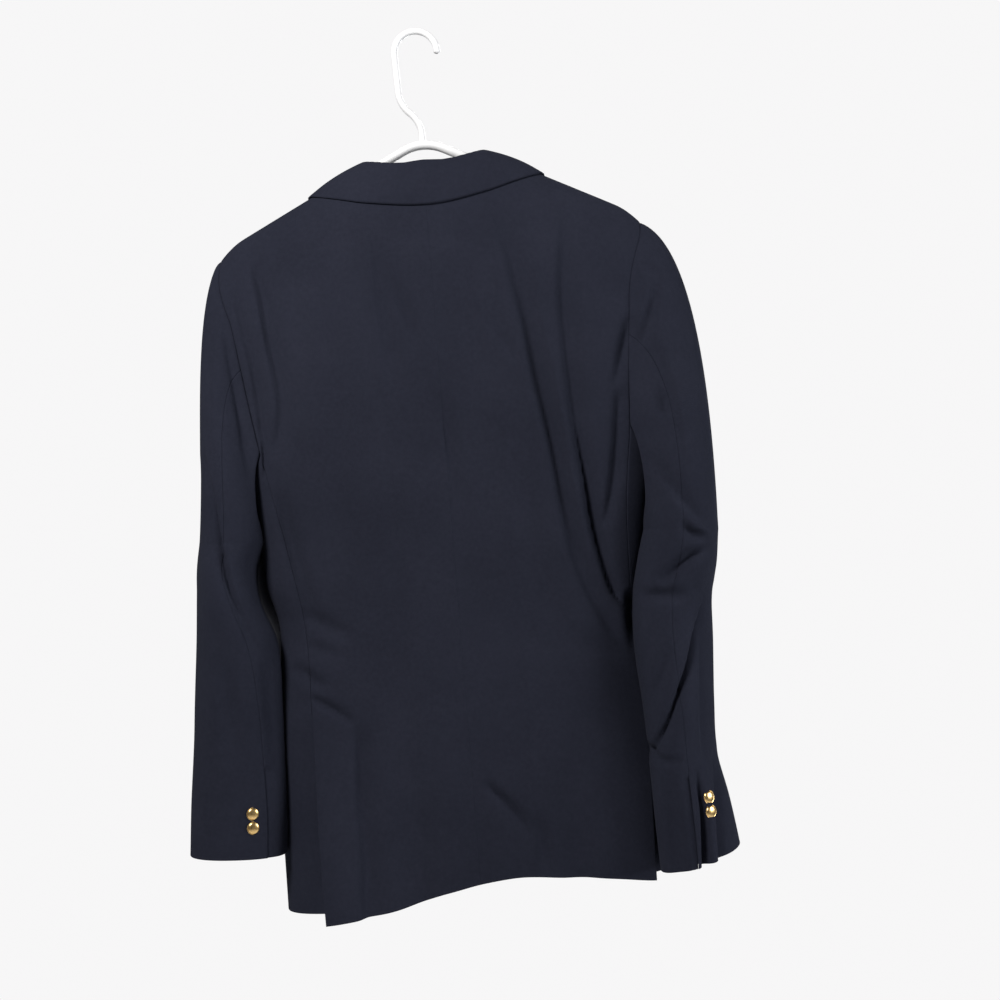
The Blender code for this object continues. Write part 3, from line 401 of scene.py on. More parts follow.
# %% Folds of the back and front, in the blazer's frame
# Each place: level, place across, depth and width, in millimetres.
BACK_FOLDS = in_metres(
    ("drawn_right",
     (-215, 75, 0, 9), (-252, 83, 6.4, 10), (-294, 90, 9.4, 11), (-343, 98, 10.6, 11),
     (-393, 104, 11, 11), (-444, 112, 11, 10.5), (-485, 117, 10.4, 10.5), (-535, 122, 9.4, 10.5),
     (-585, 130, 8.4, 10.5), (-628, 143, 6.6, 10), (-666, 161, 3.8, 10), (-693, 177, 0, 12)),
    ("drawn_right",
     (-212, 151, 0, 8), (-257, 144, 6, 9), (-306, 137, 9, 9.5), (-355, 137, 9.6, 9.5),
     (-413, 139, 9.6, 9), (-463, 142, 8.4, 8), (-501, 145, 6.6, 7), (-546, 148, 5.4, 7),
     (-587, 155, 4.4, 7), (-625, 165, 2.8, 6), (-643, 176, 0, 6)),
    ("lip_right",
     (-446, 139, 0, 7), (-476, 143, 4.4, 7), (-506, 146, 8.6, 7), (-546, 149, 12, 7),
     (-588, 156, 12.4, 7), (-625, 166, 11, 6.5), (-643, 176, 6.4, 6), (-651, 185, 0, 6)),
    ("soft",
     (-299, 110, 0, 7), (-334, 113, -2.6, 7.5), (-387, 121, -4.2, 8), (-470, 129, -5, 7.5),
     (-528, 136, -4.4, 7), (-575, 143, -2.4, 6), (-608, 149, 0, 6)),
    ("drawn_right",
     (-331, 207, 0, 6), (-350, 202, 5.6, 6), (-371, 195, 7.2, 6), (-394, 189, 4.4, 6),
     (-410, 184, 0, 6)),
    ("drawn_right",
     (-409, 190, 0, 6), (-428, 187, 6, 6), (-466, 182, 7.4, 6), (-506, 175, 7.4, 6),
     (-538, 168, 5.4, 6), (-561, 162, 0, 6)),
    ("soft",
     (-627, 186, 0, 6), (-640, 187, 13, 6.5), (-661, 187, 13, 6.5), (-683, 187, 6, 6.5),
     (-698, 189, 0, 7)),
    ("soft",
     (-679, 167, 0, 20), (-727, 180, 3.4, 22), (-788, 188, 3.8, 22), (-852, 190, 2, 22),
     (-906, 189, 0, 22)),
    ("drawn_right",
     (-239, -193, 0, 7), (-258, -190, 5.8, 7), (-286, -185, 8.6, 7), (-328, -181, 8.6, 7),
     (-360, -176, 7.6, 7.5), (-395, -173, 6.4, 8), (-426, -177, 5, 8.5), (-460, -188, 0, 9)),
    ("lip_right",
     (-263, -216, 0, 6), (-297, -213, 5, 6), (-338, -205, 7.6, 6), (-380, -200, 8.2, 6),
     (-419, -198, 7.4, 6), (-455, -197, 5.4, 5.5), (-478, -198, 0, 6)),
    ("soft",
     (-490, -181, 0, 9), (-529, -177, 5.6, 9), (-573, -169, 6.2, 9), (-614, -162, 3.8, 10),
     (-653, -157, 0, 11)),
    ("drawn_right",
     (-217, -59, 0, 8), (-256, -58, 3.2, 8), (-303, -57, 3.8, 8), (-353, -53, 2.8, 9),
     (-402, -51, 0, 9)),
    ("drawn_right",
     (-272, -44, 0, 7), (-296, -38, 3.2, 7), (-331, -28, 4, 7), (-360, -19, 0, 7)),
    ("drawn_right",
     (-316, 53, 0, 8), (-341, 64, 2.6, 8), (-363, 77, 2.6, 8), (-381, 87, 0, 8)),
    ("soft",
     (-239, -106, 0, 12), (-314, -106, 1.6, 13), (-400, -104, 1.4, 14), (-475, -104, 0, 14)),
    ("soft",
     (-251, 34, 0, 12), (-326, 37, 1.4, 13), (-412, 39, 1.2, 14), (-487, 41, 0, 14)),
    ("drawn_right",
     (-408, -1, 0, 6), (-441, 2, 2.8, 6), (-484, 5, 3, 6), (-527, 7, 0, 6)),
    ("soft",
     (-479, 78, 0, 14), (-544, 84, 1.8, 15), (-614, 94, 1.6, 16), (-674, 107, 0, 16)),
    ("soft",
     (-431, -122, 0, 15), (-528, -119, 1.8, 17), (-624, -114, 0, 18)),
    ("sharp",
     (-712, -167, 0, 5.5), (-721, -156, 6, 5.5), (-730, -142, 6, 6), (-739, -129, 4.4, 6.5),
     (-746, -118, 0, 7)),
    ("soft",
     (-681, -189, 0, 6.5), (-688, -174, 4, 6.5), (-699, -160, 3.8, 6.5), (-708, -144, 0, 7)),
    ("soft",
     (-622, -169, 0, 8), (-634, -151, 3.4, 8), (-647, -130, 2.6, 9), (-657, -112, 0, 10)),
    ("soft",
     (-654, -174, 0, 8), (-664, -155, 1.8, 8), (-672, -135, 1.4, 9), (-680, -118, 0, 9)),
    ("drawn_right",
     (-746, -120, 0, 9), (-776, -118, 6.6, 9), (-823, -119, 8.6, 9.5), (-879, -118, 9, 10),
     (-928, -120, 8.2, 11), (-961, -120, 7.2, 11)),
    ("sharp",
     (-815, 13, 0, 6), (-828, 22, 5.6, 6), (-840, 33, 7.4, 6.5), (-854, 44, 6.8, 7),
     (-872, 54, 3.4, 7.5), (-885, 59, 0, 8)),
    ("soft",
     (-855, 64, 0, 7), (-877, 69, 4, 7), (-899, 71, 3.4, 7), (-920, 73, 0, 8)),
    ("soft",
     (-762, 2, 0, 14), (-822, 1, 1.4, 15), (-891, -2, 1.6, 16)),
    ("soft",
     (-768, -63, 0, 16), (-832, -62, 3, 18), (-928, -65, 3.6, 20)),
    ("soft",
     (-802, 101, 0, 14), (-878, 108, 3.6, 16), (-937, 110, 4.6, 18)),
    ("soft",
     (-642, 104, 0, 9), (-676, 131, 1.6, 10), (-691, 160, 1.8, 10), (-702, 180, 0, 11)),
)
FRONT_FOLDS = in_metres(
    ("soft",
     (-260, 158, 0, 14), (-340, 152, 5, 15), (-440, 150, 6.5, 16), (-560, 140, 5, 18),
     (-670, 132, 0, 20)),
    ("soft",
     (-250, -165, 0, 13), (-330, -160, 5.5, 14), (-450, -156, 6, 16), (-580, -146, 4, 18),
     (-690, -140, 0, 20)),
    ("sharp",
     (-430, 188, 0, 8), (-480, 174, 3.5, 8), (-530, 168, 4, 8), (-585, 168, 0, 8)),
    ("soft",
     (-440, -184, 0, 9), (-500, -172, 3.5, 9), (-570, -168, 0, 9)),
    ("soft",
     (-597, 30, 0, 8), (-580, 62, 1.8, 10), (-560, 105, 0, 12)),
    ("soft",
     (-606, 26, 0, 8), (-622, 60, 1.6, 10), (-632, 100, 0, 12)),
    ("soft",
     (-600, -28, 0, 8), (-586, -64, 1.8, 10), (-574, -108, 0, 12)),
    ("soft",
     (-760, 92, 0, 18), (-860, 96, 4, 19), (-970, 100, 5.5, 21)),
    ("soft",
     (-770, -105, 0, 18), (-870, -108, 4.5, 19), (-970, -110, 5, 21)),
)
print("folds on the back:", len(BACK_FOLDS), "and the front:", len(FRONT_FOLDS))

# %% [markdown]
# ## The body's surface
# Across the body, cloth lies nearly flat over the back and turns round fast at
# the side, so each section is a squared oval. Depth fades to nothing at the
# shoulder line, where back and front meet. The folds sink the cloth straight
# in, so that two panels that meet at a seam still meet after it.

# %% Shoulders, neck and sections
FOLD_FADE = 1.6


def half_width(level, side):
    return between(BODY_SECTIONS, BODY_COLUMNS, side_name(side), level)


def ridge(x):
    """The shoulder line's height, carried on to the centre."""
    reach = np.abs(x)
    line = SLOPE_AT_Z - SHOULDER_SLOPE * (reach - SLOPE_AT_X)
    at_end = SLOPE_AT_Z - SHOULDER_SLOPE * (SHOULDER_X - SLOPE_AT_X)
    over = np.maximum(reach - SHOULDER_ROUND_FROM, 0) / (SHOULDER_X - SHOULDER_ROUND_FROM)
    return line + (SHOULDER_Z - at_end) * over**2


def neckline(x):
    """The back neck's seam, from the nape up to the shoulder seam."""
    share = np.minimum(np.abs(x) / NECK_X, 1.0)
    return mix(NAPE_Z, ridge(NECK_X), share**NECK_CURVE)


def body_point(x, level, face):
    """A point of the back (face -1) or the front (face 1)."""
    x, level = np.broadcast_arrays(np.asarray(x, float), np.asarray(level, float))
    depth = between(BODY_SECTIONS, BODY_COLUMNS, "back" if face < 0 else "front", level)
    drop = np.clip((ridge(x) - level) / SHOULDER_ROUND_DEPTH, 0.0, 1.0)
    crown = np.sqrt(1 - (1 - drop) ** 2)
    wide = np.where(x > 0, half_width(level, 1), half_width(level, -1))
    reach = np.minimum(np.abs(x) / wide, 1.0)
    edge = (1 - reach**SECTION_POWER) ** (1 / SECTION_POWER)
    sunk = crease_depth(BACK_FOLDS if face < 0 else FRONT_FOLDS, x, level)
    y = face * (depth * crown * edge - sunk * np.minimum(edge * FOLD_FADE, 1.0))
    return stack(x, y, level)


def share_down(level):
    return (SHOULDER_Z - level) / (SHOULDER_Z - SIDE_HEM_Z)


def edge_x(column, level):
    return between(PANEL_EDGES, EDGE_COLUMNS, column, level)


# %% [markdown]
# ## Back, fronts and side panels
# Each panel is a grid of points: rows run down from the shoulder to the hem,
# and columns run across. The rows crowd together at the top and the bottom,
# and the columns at both edges, because seams and hems need small steps.

# %% Grids of the body's panels
LOWER_ROWS = 96
SWING_FROM = 0.35
RIGHT_SWING = 0.25
INSET_FROM = 0.6
ROLL_BOW = 0.006
LAP_FADE_X, LAP_FADE = 0.03, 0.06
LEFT_LAP, RIGHT_LAP = 0.6, -0.4
UNDERLAP_FROM, UNDERLAP_OVER = 0.003, 0.0325
INSET_OVER = 0.030

# Heights from the shoulder's tip down to the hem, shared by all panels
UPPER = mix(SHOULDER_Z, UNDERARM_Z, spread(0.217, 0.0040))
LOWER = mix(UNDERARM_Z, VENT_Z, np.linspace(0, 1, LOWER_ROWS))
HANG = mix(VENT_Z, SIDE_HEM_Z, spread(0.213, 0.0032))
LEVELS = np.concatenate([UPPER, LOWER[1:], HANG[1:]])


def back_grid(side, level, across):
    level, across = level[:, None], across[None, :]
    loose = ease((VENT_Z - level) / (VENT_Z - SIDE_HEM_Z))
    x = side * across * edge_x("back_" + side_name(side), level)
    top_x = across * SHOULDER_X
    top = np.where(top_x < NECK_X, neckline(top_x), ridge(top_x))
    hem = between(BACK_HEM, HEM_COLUMNS, "hem", x)
    z = mix(top, SIDE_HEM_Z, share_down(level)) + (hem - SIDE_HEM_Z) * loose
    grid = body_point(x, z, -1)
    swing = FLAP_SWING if side < 0 else FLAP_SWING * RIGHT_SWING
    grid[..., 1] -= swing * loose * ease((across - SWING_FROM) / (1 - SWING_FROM))
    by_edge = ease((across - INSET_FROM) / (1 - INSET_FROM))
    grid[..., 1] -= VENT_INSET * 0.5 * ease(loose * 8) * by_edge
    return grid


def side_lift(level, side):
    """How much higher the right side hangs, from the vent's top to the hem."""
    lift = RIGHT_SIDE_LIFT if side > 0 else 0.0
    return lift * ease((VENT_Z - level) / (VENT_Z - SIDE_HEM_Z))


def front_edge(level):
    """The front edge's distance to its own side of the centre."""
    share = (ridge(NECK_X) - level) / (ridge(NECK_X) - BREAK_Z)
    rolled = mix(NECK_X, -LAP, share) + ROLL_BOW * np.sin(math.pi * np.clip(share, 0, 1))
    slant = -LAP + QUARTER_SLANT * np.maximum(QUARTER_FROM - level, 0.0) ** 1.3
    low = FRONT_LOW_Z + CORNER_ROUND
    inside = np.clip((low - level) / CORNER_ROUND, 0.0, 1.0)
    cut = slant + CORNER_ROUND * (1 - np.sqrt(1 - inside**2))
    return np.where(level > BREAK_Z, rolled, cut)


def front_hem(across):
    """The hem's height at a share from the corner's middle to the side."""
    start = front_edge(FRONT_LOW_Z + CORNER_ROUND * (1 - math.sqrt(0.5)))
    x = mix(start, edge_x("front", SIDE_HEM_Z), across)
    round_end = start + CORNER_ROUND * math.sqrt(0.5)
    inside = np.clip((round_end - x) / CORNER_ROUND, 0.0, 1.0)
    flat = SIDE_HEM_Z - FRONT_HEM_DROP * ease((1 - across) * 1.5)
    return flat + CORNER_ROUND * (1 - np.sqrt(1 - inside**2))


def front_point(x, z, side):
    """A point of a front, x to its own side, with the left one lapped over."""
    points = body_point(side * x, z, 1)
    lapped = ease((ridge(NECK_X) - z) / 0.2) * ease(1 - (x - LAP_FADE_X) / LAP_FADE)
    points[..., 1] += LAP_STEP * lapped * (LEFT_LAP if side < 0 else RIGHT_LAP)
    return points


def front_grid(side, level, across):
    level, across = level[:, None], across[None, :]
    down = share_down(level)
    outer = edge_x("front", level)
    inner = front_edge(mix(ridge(NECK_X), front_hem(0.0), down))
    top = ridge(mix(NECK_X, SHOULDER_X, across))
    z = mix(top, front_hem(across), down) + side_lift(level, side)
    return front_point(mix(inner, outer, across), z, side)


def side_grid(side, level, across):
    """The side panel, from the back seam round to the front one. Below the
    vent's top it runs on under the back."""
    level, across = level[:, None], across[None, :]
    inset = ease((VENT_Z - level) / INSET_OVER)
    underlap = np.clip((VENT_Z - UNDERLAP_FROM - level) / UNDERLAP_OVER, 0.0, 1.0)
    back_x = edge_x("back_" + side_name(side), level) - VENT_UNDERLAP * underlap
    front_x = edge_x("front", level)
    width = half_width(level, side)
    power = SECTION_POWER / 2
    start = -np.arccos(np.minimum(back_x / width, 1.0) ** power)
    end = np.arccos(np.minimum(front_x / width, 1.0) ** power)
    angle = mix(start, end, across)
    top = UNDERARM_Z - UNDERARM_DIP * np.sin(math.pi * np.clip(across, 0, 1)) ** 0.8
    share = (UNDERARM_Z - level) / (UNDERARM_Z - SIDE_HEM_Z)
    z = mix(top, SIDE_HEM_Z, share) + side_lift(level, side)
    x = side * half_width(z, side) * np.cos(angle) ** (1 / power)
    x[:, :1] = side * back_x
    x[:, -1:] = side * front_x
    behind, before = body_point(x, z, -1), body_point(x, z, 1)
    grid = np.where((angle < 0)[..., None], behind, before)
    grid[..., 1] += VENT_INSET * inset * ease(1 - across * 3)
    return grid


BACK_ACROSS = spread(0.210, 0.0030)
FRONT_ACROSS = spread(0.200, 0.0036)
SIDE_ACROSS = spread(0.110, 0.0036)
SIDE_LEVELS = LEVELS[len(UPPER) - 1 :]
backs = {side: back_grid(side, LEVELS, BACK_ACROSS) for side in (-1, 1)}
fronts = {side: front_grid(side, LEVELS, FRONT_ACROSS) for side in (-1, 1)}
sides = {side: side_grid(side, SIDE_LEVELS, SIDE_ACROSS) for side in (-1, 1)}
print("points in half of the back:", backs[-1].shape[0] * backs[-1].shape[1])

# %% [markdown]
# ## Sleeves
# A sleeve is a tube. It starts as the armhole's own loop of points, leaves it
# outwards over the sleeve head, turns down, and from the elbow on follows a
# table of ovals to the cuff. Then it is cut along its two seams into a top
# sleeve and an under sleeve, so that both halves fit exactly.

# %% Sleeve measures, in the world frame
SLEEVE_COLUMNS = ("level", "x", "y", "across", "deep", "turn", "swing", "lean")
SLEEVE_SECTIONS = {
    -1: (
        (-0.560, -0.1972, -0.008, 0.0363, 0.063, 4.0, 0.00, 0.032),
        (-0.590, -0.2028, -0.016, 0.0324, 0.061, 6.0, 0.01, 0.036),
        (-0.624, -0.2000, -0.024, 0.0342, 0.058, 10.0, 0.02, 0.036),
        (-0.668, -0.1905, -0.026, 0.0435, 0.053, 12.0, 0.04, 0.027),
        (-0.734, -0.1882, -0.027, 0.0473, 0.046, 12.0, 0.07, 0.019),
        (-0.777, -0.1872, -0.028, 0.0489, 0.042, 8.0, 0.09, 0.023),
        (-0.843, -0.1866, -0.030, 0.0520, 0.038, 4.0, 0.11, 0.020),
        (-0.896, -0.1872, -0.031, 0.0522, 0.037, 2.0, 0.12, 0.021),
    ),
    1: (
        (-0.545, 0.2930, -0.008, 0.0415, 0.063, 8.0, 0.00, 0.032),
        (-0.580, 0.2885, -0.012, 0.0435, 0.061, 12.0, -0.01, 0.034),
        (-0.613, 0.2842, -0.016, 0.0420, 0.059, 18.0, -0.02, 0.034),
        (-0.668, 0.2842, -0.024, 0.0413, 0.057, 20.0, -0.03, 0.022),
        (-0.734, 0.2884, -0.034, 0.0366, 0.055, 20.0, -0.05, 0.008),
        (-0.783, 0.2922, -0.040, 0.0336, 0.053, 24.0, -0.07, 0.000),
        (-0.843, 0.3020, -0.044, 0.0350, 0.052, 32.0, -0.08, 0.000),
        (-0.896, 0.3105, -0.046, 0.0350, 0.053, 38.0, -0.09, 0.000),
    ),
}
SLEEVE_POWER = 2.3
SLEEVE_CLEAR = 0.0018
HEAD_OUT = {-1: 0.060, 1: 0.100}
HEAD_PULL = {-1: 0.30, 1: 0.60}
UNDER_OUT = {-1: 0.018, 1: 0.024}
CUFF_SLOPE = {-1: 0.02, 1: 0.25}
HINDARM = 0.235
FOREARM = 0.660
BODY_SIDE_HOLLOW = 3.08
CUFF_SLOPE_FROM = 0.6
BESIDE_FROM, BESIDE_FADE = 0.010, 0.030
HEAD_SPREAD, HEAD_DROP, UNDER_DROP = 0.55, 0.035, 0.4
ARRIVE_OUT, ARRIVE_PULL = 0.05, 0.9

# Heights of the armhole's points that set the tube's middle
SOLID_UPPER = mix(SHOULDER_Z, UNDERARM_Z, (np.arange(9) / 8) ** 1.7)
SOLID_SIDE = np.arange(7) / 6


def armhole(side, levels, across):
    """The armhole's points in the world frame: the tip, down the back, along
    the underarm, and up the front."""
    back = back_grid(side, levels, np.array([0.0, 1.0]))[:, -1]
    under = side_grid(side, np.array([UNDERARM_Z]), across)[0, 1:-1]
    front = front_grid(side, levels, np.array([0.0, 1.0]))[:0:-1, -1]
    return swung(np.concatenate([back, under, front]))


def loop_shares(loop):
    """How far round a closed loop each point lies, from 0 up to 1."""
    steps = np.linalg.norm(np.roll(loop, -1, axis=0) - loop, axis=1)
    return np.concatenate([[0.0], np.cumsum(steps)[:-1]]) / steps.sum()


def along_loop(loop, shares):
    """Points of the loop at the given shares of its length."""
    own = np.append(loop_shares(loop), 1.0)
    closed = np.vstack([loop, loop[:1]])
    return np.stack([np.interp(shares % 1.0, own, closed[:, i]) for i in range(3)], -1)


def sleeve_point(level, share, side):
    """A point of the sleeve's tube: share 0 is its outer side, 0.25 its back,
    0.5 the side next to the body."""
    table = SLEEVE_SECTIONS[side]
    x, y, across, deep, turn, swing, lean = (
        between(table, SLEEVE_COLUMNS, name, level) for name in SLEEVE_COLUMNS[1:]
    )
    angle = 2 * math.pi * (share + swing)
    cos, sin = np.cos(angle), np.sin(angle)
    power = 2 / SLEEVE_POWER
    local_x = side * across * np.sign(cos) * np.abs(cos) ** power
    leaning = np.maximum(-sin, 0) ** 3 * np.maximum(-cos, 0)
    local_x = local_x - side * lean * BODY_SIDE_HOLLOW * leaning
    local_y = -deep * np.sign(sin) * np.abs(sin) ** power
    turned = -side * np.radians(turn)
    return stack(
        x + local_x * np.cos(turned) - local_y * np.sin(turned),
        y + local_x * np.sin(turned) + local_y * np.cos(turned),
        level,
    )


def beside_body(points, side, clear):
    """The points, moved out of the body's side where they would enter it."""
    own = upright(points)
    x, y, z = own[..., 0], own[..., 1], own[..., 2]
    back = between(BODY_SECTIONS, BODY_COLUMNS, "back", z)
    front = between(BODY_SECTIONS, BODY_COLUMNS, "front", z)
    off = np.minimum(np.abs(y) / (np.where(y < 0, back, front) + clear), 1.0)
    limit = half_width(z, side) * (1 - off**SECTION_POWER) ** (1 / SECTION_POWER)
    below = ease((UNDERARM_Z + BESIDE_FROM - z) / BESIDE_FADE)
    short = (limit + clear - side * x) * below
    push = side * np.where((short > 0) & (limit > 0), short, 0.0)
    cos, sin = math.cos(TILT), math.sin(TILT)
    return points + stack(push * cos, 0.0, push * sin)


def sleeve_grid(side, shares, cap, arm):
    """The sleeve's tube, from the armhole over the sleeve head to the cuff."""
    loop = along_loop(armhole(side, UPPER, SIDE_ACROSS), shares)
    solid_loop = armhole(side, SOLID_UPPER, SOLID_SIDE)
    middle = solid_loop.mean(axis=0)
    tall = solid_loop[:, 2].max() - middle[2]
    top, cuff = SLEEVE_SECTIONS[side][0][0], SLEEVE_SECTIONS[side][-1][0]
    start, end = loop[None], sleeve_point(top, shares, side)[None]
    reach = np.linalg.norm(end - start, axis=-1, keepdims=True)
    above = start[..., 2:] - middle[2]
    high = np.clip(above / tall, -1.0, 1.0) * 0.5 + 0.5
    leave = np.concatenate(
        [
            side * mix(UNDER_OUT[side], HEAD_OUT[side], high),
            (start[..., 1:2] - middle[1]) * HEAD_SPREAD,
            -HEAD_DROP + np.minimum(above * UNDER_DROP, 0.0),
        ],
        axis=-1,
    )
    leave = leave / np.linalg.norm(leave, axis=-1, keepdims=True)
    leave = leave * reach * mix(1.0, HEAD_PULL[side], high)
    arrive = np.array([side * ARRIVE_OUT, 0.0, -1.0]) * reach * ARRIVE_PULL
    along = cap[:, None, None]
    head = curve(start, leave, end, arrive, along)
    clear = SLEEVE_CLEAR * ease(along[..., 0] * 2)
    head = np.concatenate([loop[None], beside_body(head, side, clear)[1:]])
    level = mix(top, cuff, arm[1:])[:, None]
    low = ease((arm[1:, None] - CUFF_SLOPE_FROM) / (1 - CUFF_SLOPE_FROM))
    lower = beside_body(sleeve_point(level, shares[None], side), side, SLEEVE_CLEAR)
    centre = between(SLEEVE_SECTIONS[side], SLEEVE_COLUMNS, "x", level)
    lower[..., 2] += (lower[..., 0] - centre) * CUFF_SLOPE[side] * low
    return np.concatenate([head, lower])


# %% [markdown]
# ## Creases of the sleeves
# A sleeve is creased where the arm bends: short drags run in from the elbow,
# and one long diagonal fold crosses the right forearm and ends in a pinch
# above the cuff. Their places are given as the eye meets them from behind,
# and they sink the cloth along its own way in, fading round to the front.

# %% Sleeve creases, in the world frame
# Each place: level, place across, depth and width, in millimetres. Those of the
# front have their place across measured from the sleeve's middle.
SLEEVE_CREASES = {
    -1: in_metres(
        ("lip_left",
         (-463, -221, 0, 6), (-489, -216, 6, 6), (-518, -209, 9, 6.5), (-558, -201, 10, 7),
         (-598, -190, 9.4, 7), (-623, -181, 6, 7), (-642, -173, 0, 7)),
        ("soft",
         (-623, -183, 0, 6), (-640, -176, 3, 6), (-663, -167, 3, 6), (-687, -158, 0, 7)),
        ("soft",
         (-672, -198, 0, 9), (-731, -191, 3.8, 10), (-798, -189, 0, 11)),
        ("drawn_right",
         (-303, -204, 0, 6.5), (-346, -198, 3.2, 6.5), (-394, -189, 4.4, 7), (-451, -179, 4, 7),
         (-499, -172, 0, 7)),
        ("soft",
         (-661, -156, 0, 7), (-714, -151, 3, 7), (-767, -147, 2.6, 7), (-819, -145, 0, 7)),
        ("soft",
         (-430, -215, 0, 9), (-449, -193, 1.8, 9), (-463, -172, 0, 9)),
    ),
    1: in_metres(
        ("drawn_right",
         (-223, 243, 0, 4), (-236, 246, 2.4, 4), (-251, 242, 0, 4)),
        ("drawn_right",
         (-244, 255, 0, 4), (-257, 256, 2, 4), (-270, 255, 0, 4)),
        ("soft",
         (-276, 268, 0, 5.5), (-303, 259, 4.6, 6), (-331, 251, 3, 6.5), (-350, 242, 0, 7)),
        ("soft",
         (-392, 263, 0, 7), (-411, 270, 4.6, 7), (-430, 276, 0, 7)),
        ("drawn_right",
         (-461, 251, 0, 8), (-485, 266, 4.2, 8), (-508, 284, 5.6, 8), (-529, 303, 5.6, 7.5),
         (-541, 316, 3, 7), (-548, 325, 0, 7)),
        ("soft",
         (-535, 287, 0, 5.5), (-548, 297, 8, 6), (-553, 308, 7.6, 6), (-554, 317, 1.6, 6),
         (-555, 325, 0, 7)),
        ("soft",
         (-602, 261, 0, 6), (-594, 272, 6, 6.5), (-581, 287, 9, 7), (-570, 302, 8.4, 7),
         (-565, 314, 3.4, 6), (-561, 322, 0, 6)),
        ("soft",
         (-617, 242, 0, 5.5), (-615, 255, 6, 6.5), (-614, 272, 6, 7), (-615, 287, 3, 7),
         (-617, 299, 0, 7)),
        ("soft",
         (-607, 297, 0, 5), (-609, 308, 2, 5), (-610, 317, 1.4, 5), (-611, 325, 0, 5)),
        ("lip_right",
         (-600, 320, 0, 6), (-611, 317, 4, 7), (-626, 312, 8, 8), (-653, 302, 9.8, 8.5),
         (-687, 293, 10.6, 8.5), (-718, 280, 11.4, 8.5), (-748, 268, 10.6, 8),
         (-769, 258, 7.4, 7.5), (-781, 252, 0, 6)),
        ("sharp",
         (-769, 244, 0, 5), (-777, 251, 7.4, 5), (-785, 259, 7.2, 5), (-787, 272, 5, 5.5),
         (-785, 287, 0, 6)),
        ("drawn_right",
         (-640, 312, 0, 5.5), (-703, 311, 5, 6), (-756, 310, 4.6, 6.5), (-794, 312, 0, 7)),
        ("soft",
         (-661, 276, 0, 7), (-695, 266, 3.8, 7), (-725, 257, 0, 7)),
        ("soft",
         (-798, 272, 0, 8), (-840, 276, 3.4, 9), (-882, 280, 3.2, 10)),
        ("soft",
         (-792, 302, 0, 3), (-811, 304, 5, 3.2), (-836, 308, 9, 3.6), (-861, 310, 11, 4.2),
         (-885, 311, 12, 4.8), (-906, 312, 12, 5)),
        ("drawn_right",
         (-779, 323, 0, 4), (-798, 325, 5.4, 4.4), (-830, 326, 8, 4.8), (-861, 327, 8.6, 5),
         (-885, 328, 8, 5.4), (-906, 329, 7.5, 5.4)),
    ),
}
FORE_CREASES = in_metres(
    ("soft",
     (-570, -30, 0, 8), (-584, 0, 4, 9), (-580, 30, 0, 9)),
    ("soft",
     (-610, -26, 0, 8), (-618, 4, 4.5, 8), (-606, 32, 0, 8)),
    ("soft",
     (-650, -20, 0, 8), (-646, 8, 3, 8), (-652, 30, 0, 8)),
    ("soft",
     (-330, -12, 0, 10), (-400, -6, 3, 11), (-480, 4, 0, 11)),
)
print("creases on the sleeves:", sum(len(rows) for rows in SLEEVE_CREASES.values()))

# %% [markdown]
# ## From a grid of points to a sheet of cloth
# A panel's grid becomes a closed thin sheet: its outer face, an inner face one
# cloth's thickness behind it, and a narrow rounded rim between them. Where two
# panels are sewn together, the cloth turns in, so each edge sinks into a fine
# groove, and the layers pressed open under it lift it a little on both sides.

# %% Normals, seams and sheets
WALL = 0.0016
SEAM_SINK = 0.0010
SEAM_HALF = 0.0010
FLAT_SEAM = 0.12
HEAD_SEAM = 0.35
SEAM_BITE = 0.0008
ALLOWANCE = 0.010
ALLOWANCE_LIFT = 0.00025
PUCKER_DEPTH, PUCKER_REACH = 0.00028, 0.006
PUCKER_WAVES = (0.0042, 0.031, 0.047)
RIM_TUCK = 0.22


def outward(grid, side_of, closed=False):
    """Unit normals of a grid of points, all turned to one side of the cloth."""
    if closed:
        wrapped = np.concatenate([grid[:, -1:], grid, grid[:, :1]], axis=1)
        across = np.gradient(wrapped, axis=1)[:, 1:-1]
    else:
        across = np.gradient(grid, axis=1)
    down = np.gradient(grid, axis=0)
    found = np.cross(across, down)
    found = found / np.maximum(np.linalg.norm(found, axis=-1, keepdims=True), 1e-12)
    return found * side_of


def run_lengths(grid, axis):
    """How far each point is from the first one, along its row or column."""
    steps = np.linalg.norm(np.diff(grid, axis=axis), axis=-1)
    start = np.zeros_like(np.take(steps, [0], axis=axis))
    return np.concatenate([start, np.cumsum(steps, axis=axis)], axis=axis)


def edge_distances(grid):
    """Each point's distance to the grid's first and last column and row."""
    across, down = run_lengths(grid, 1), run_lengths(grid, 0)
    return {
        "start": across,
        "end": across[:, -1:] - across,
        "top": down,
        "bottom": down[-1:] - down,
    }


def seam_sink(distance):
    groove = np.exp(-((distance / SEAM_HALF) ** 2))
    lifted = ALLOWANCE_LIFT * ease(1.6 - distance / ALLOWANCE) * (1 - groove)
    return SEAM_SINK * groove - lifted


def pucker(distance, along, seed):
    """Fine ripples that a seam's thread pulls in, dying out beside it."""
    fine, drift, gather = PUCKER_WAVES
    wave = np.sin(along / fine + 2.1 * np.sin(along / drift + seed) + seed)
    wave = wave * (0.5 + 0.5 * np.sin(along / gather + seed * 1.7))
    return PUCKER_DEPTH * wave * np.exp(-((distance / PUCKER_REACH) ** 2))


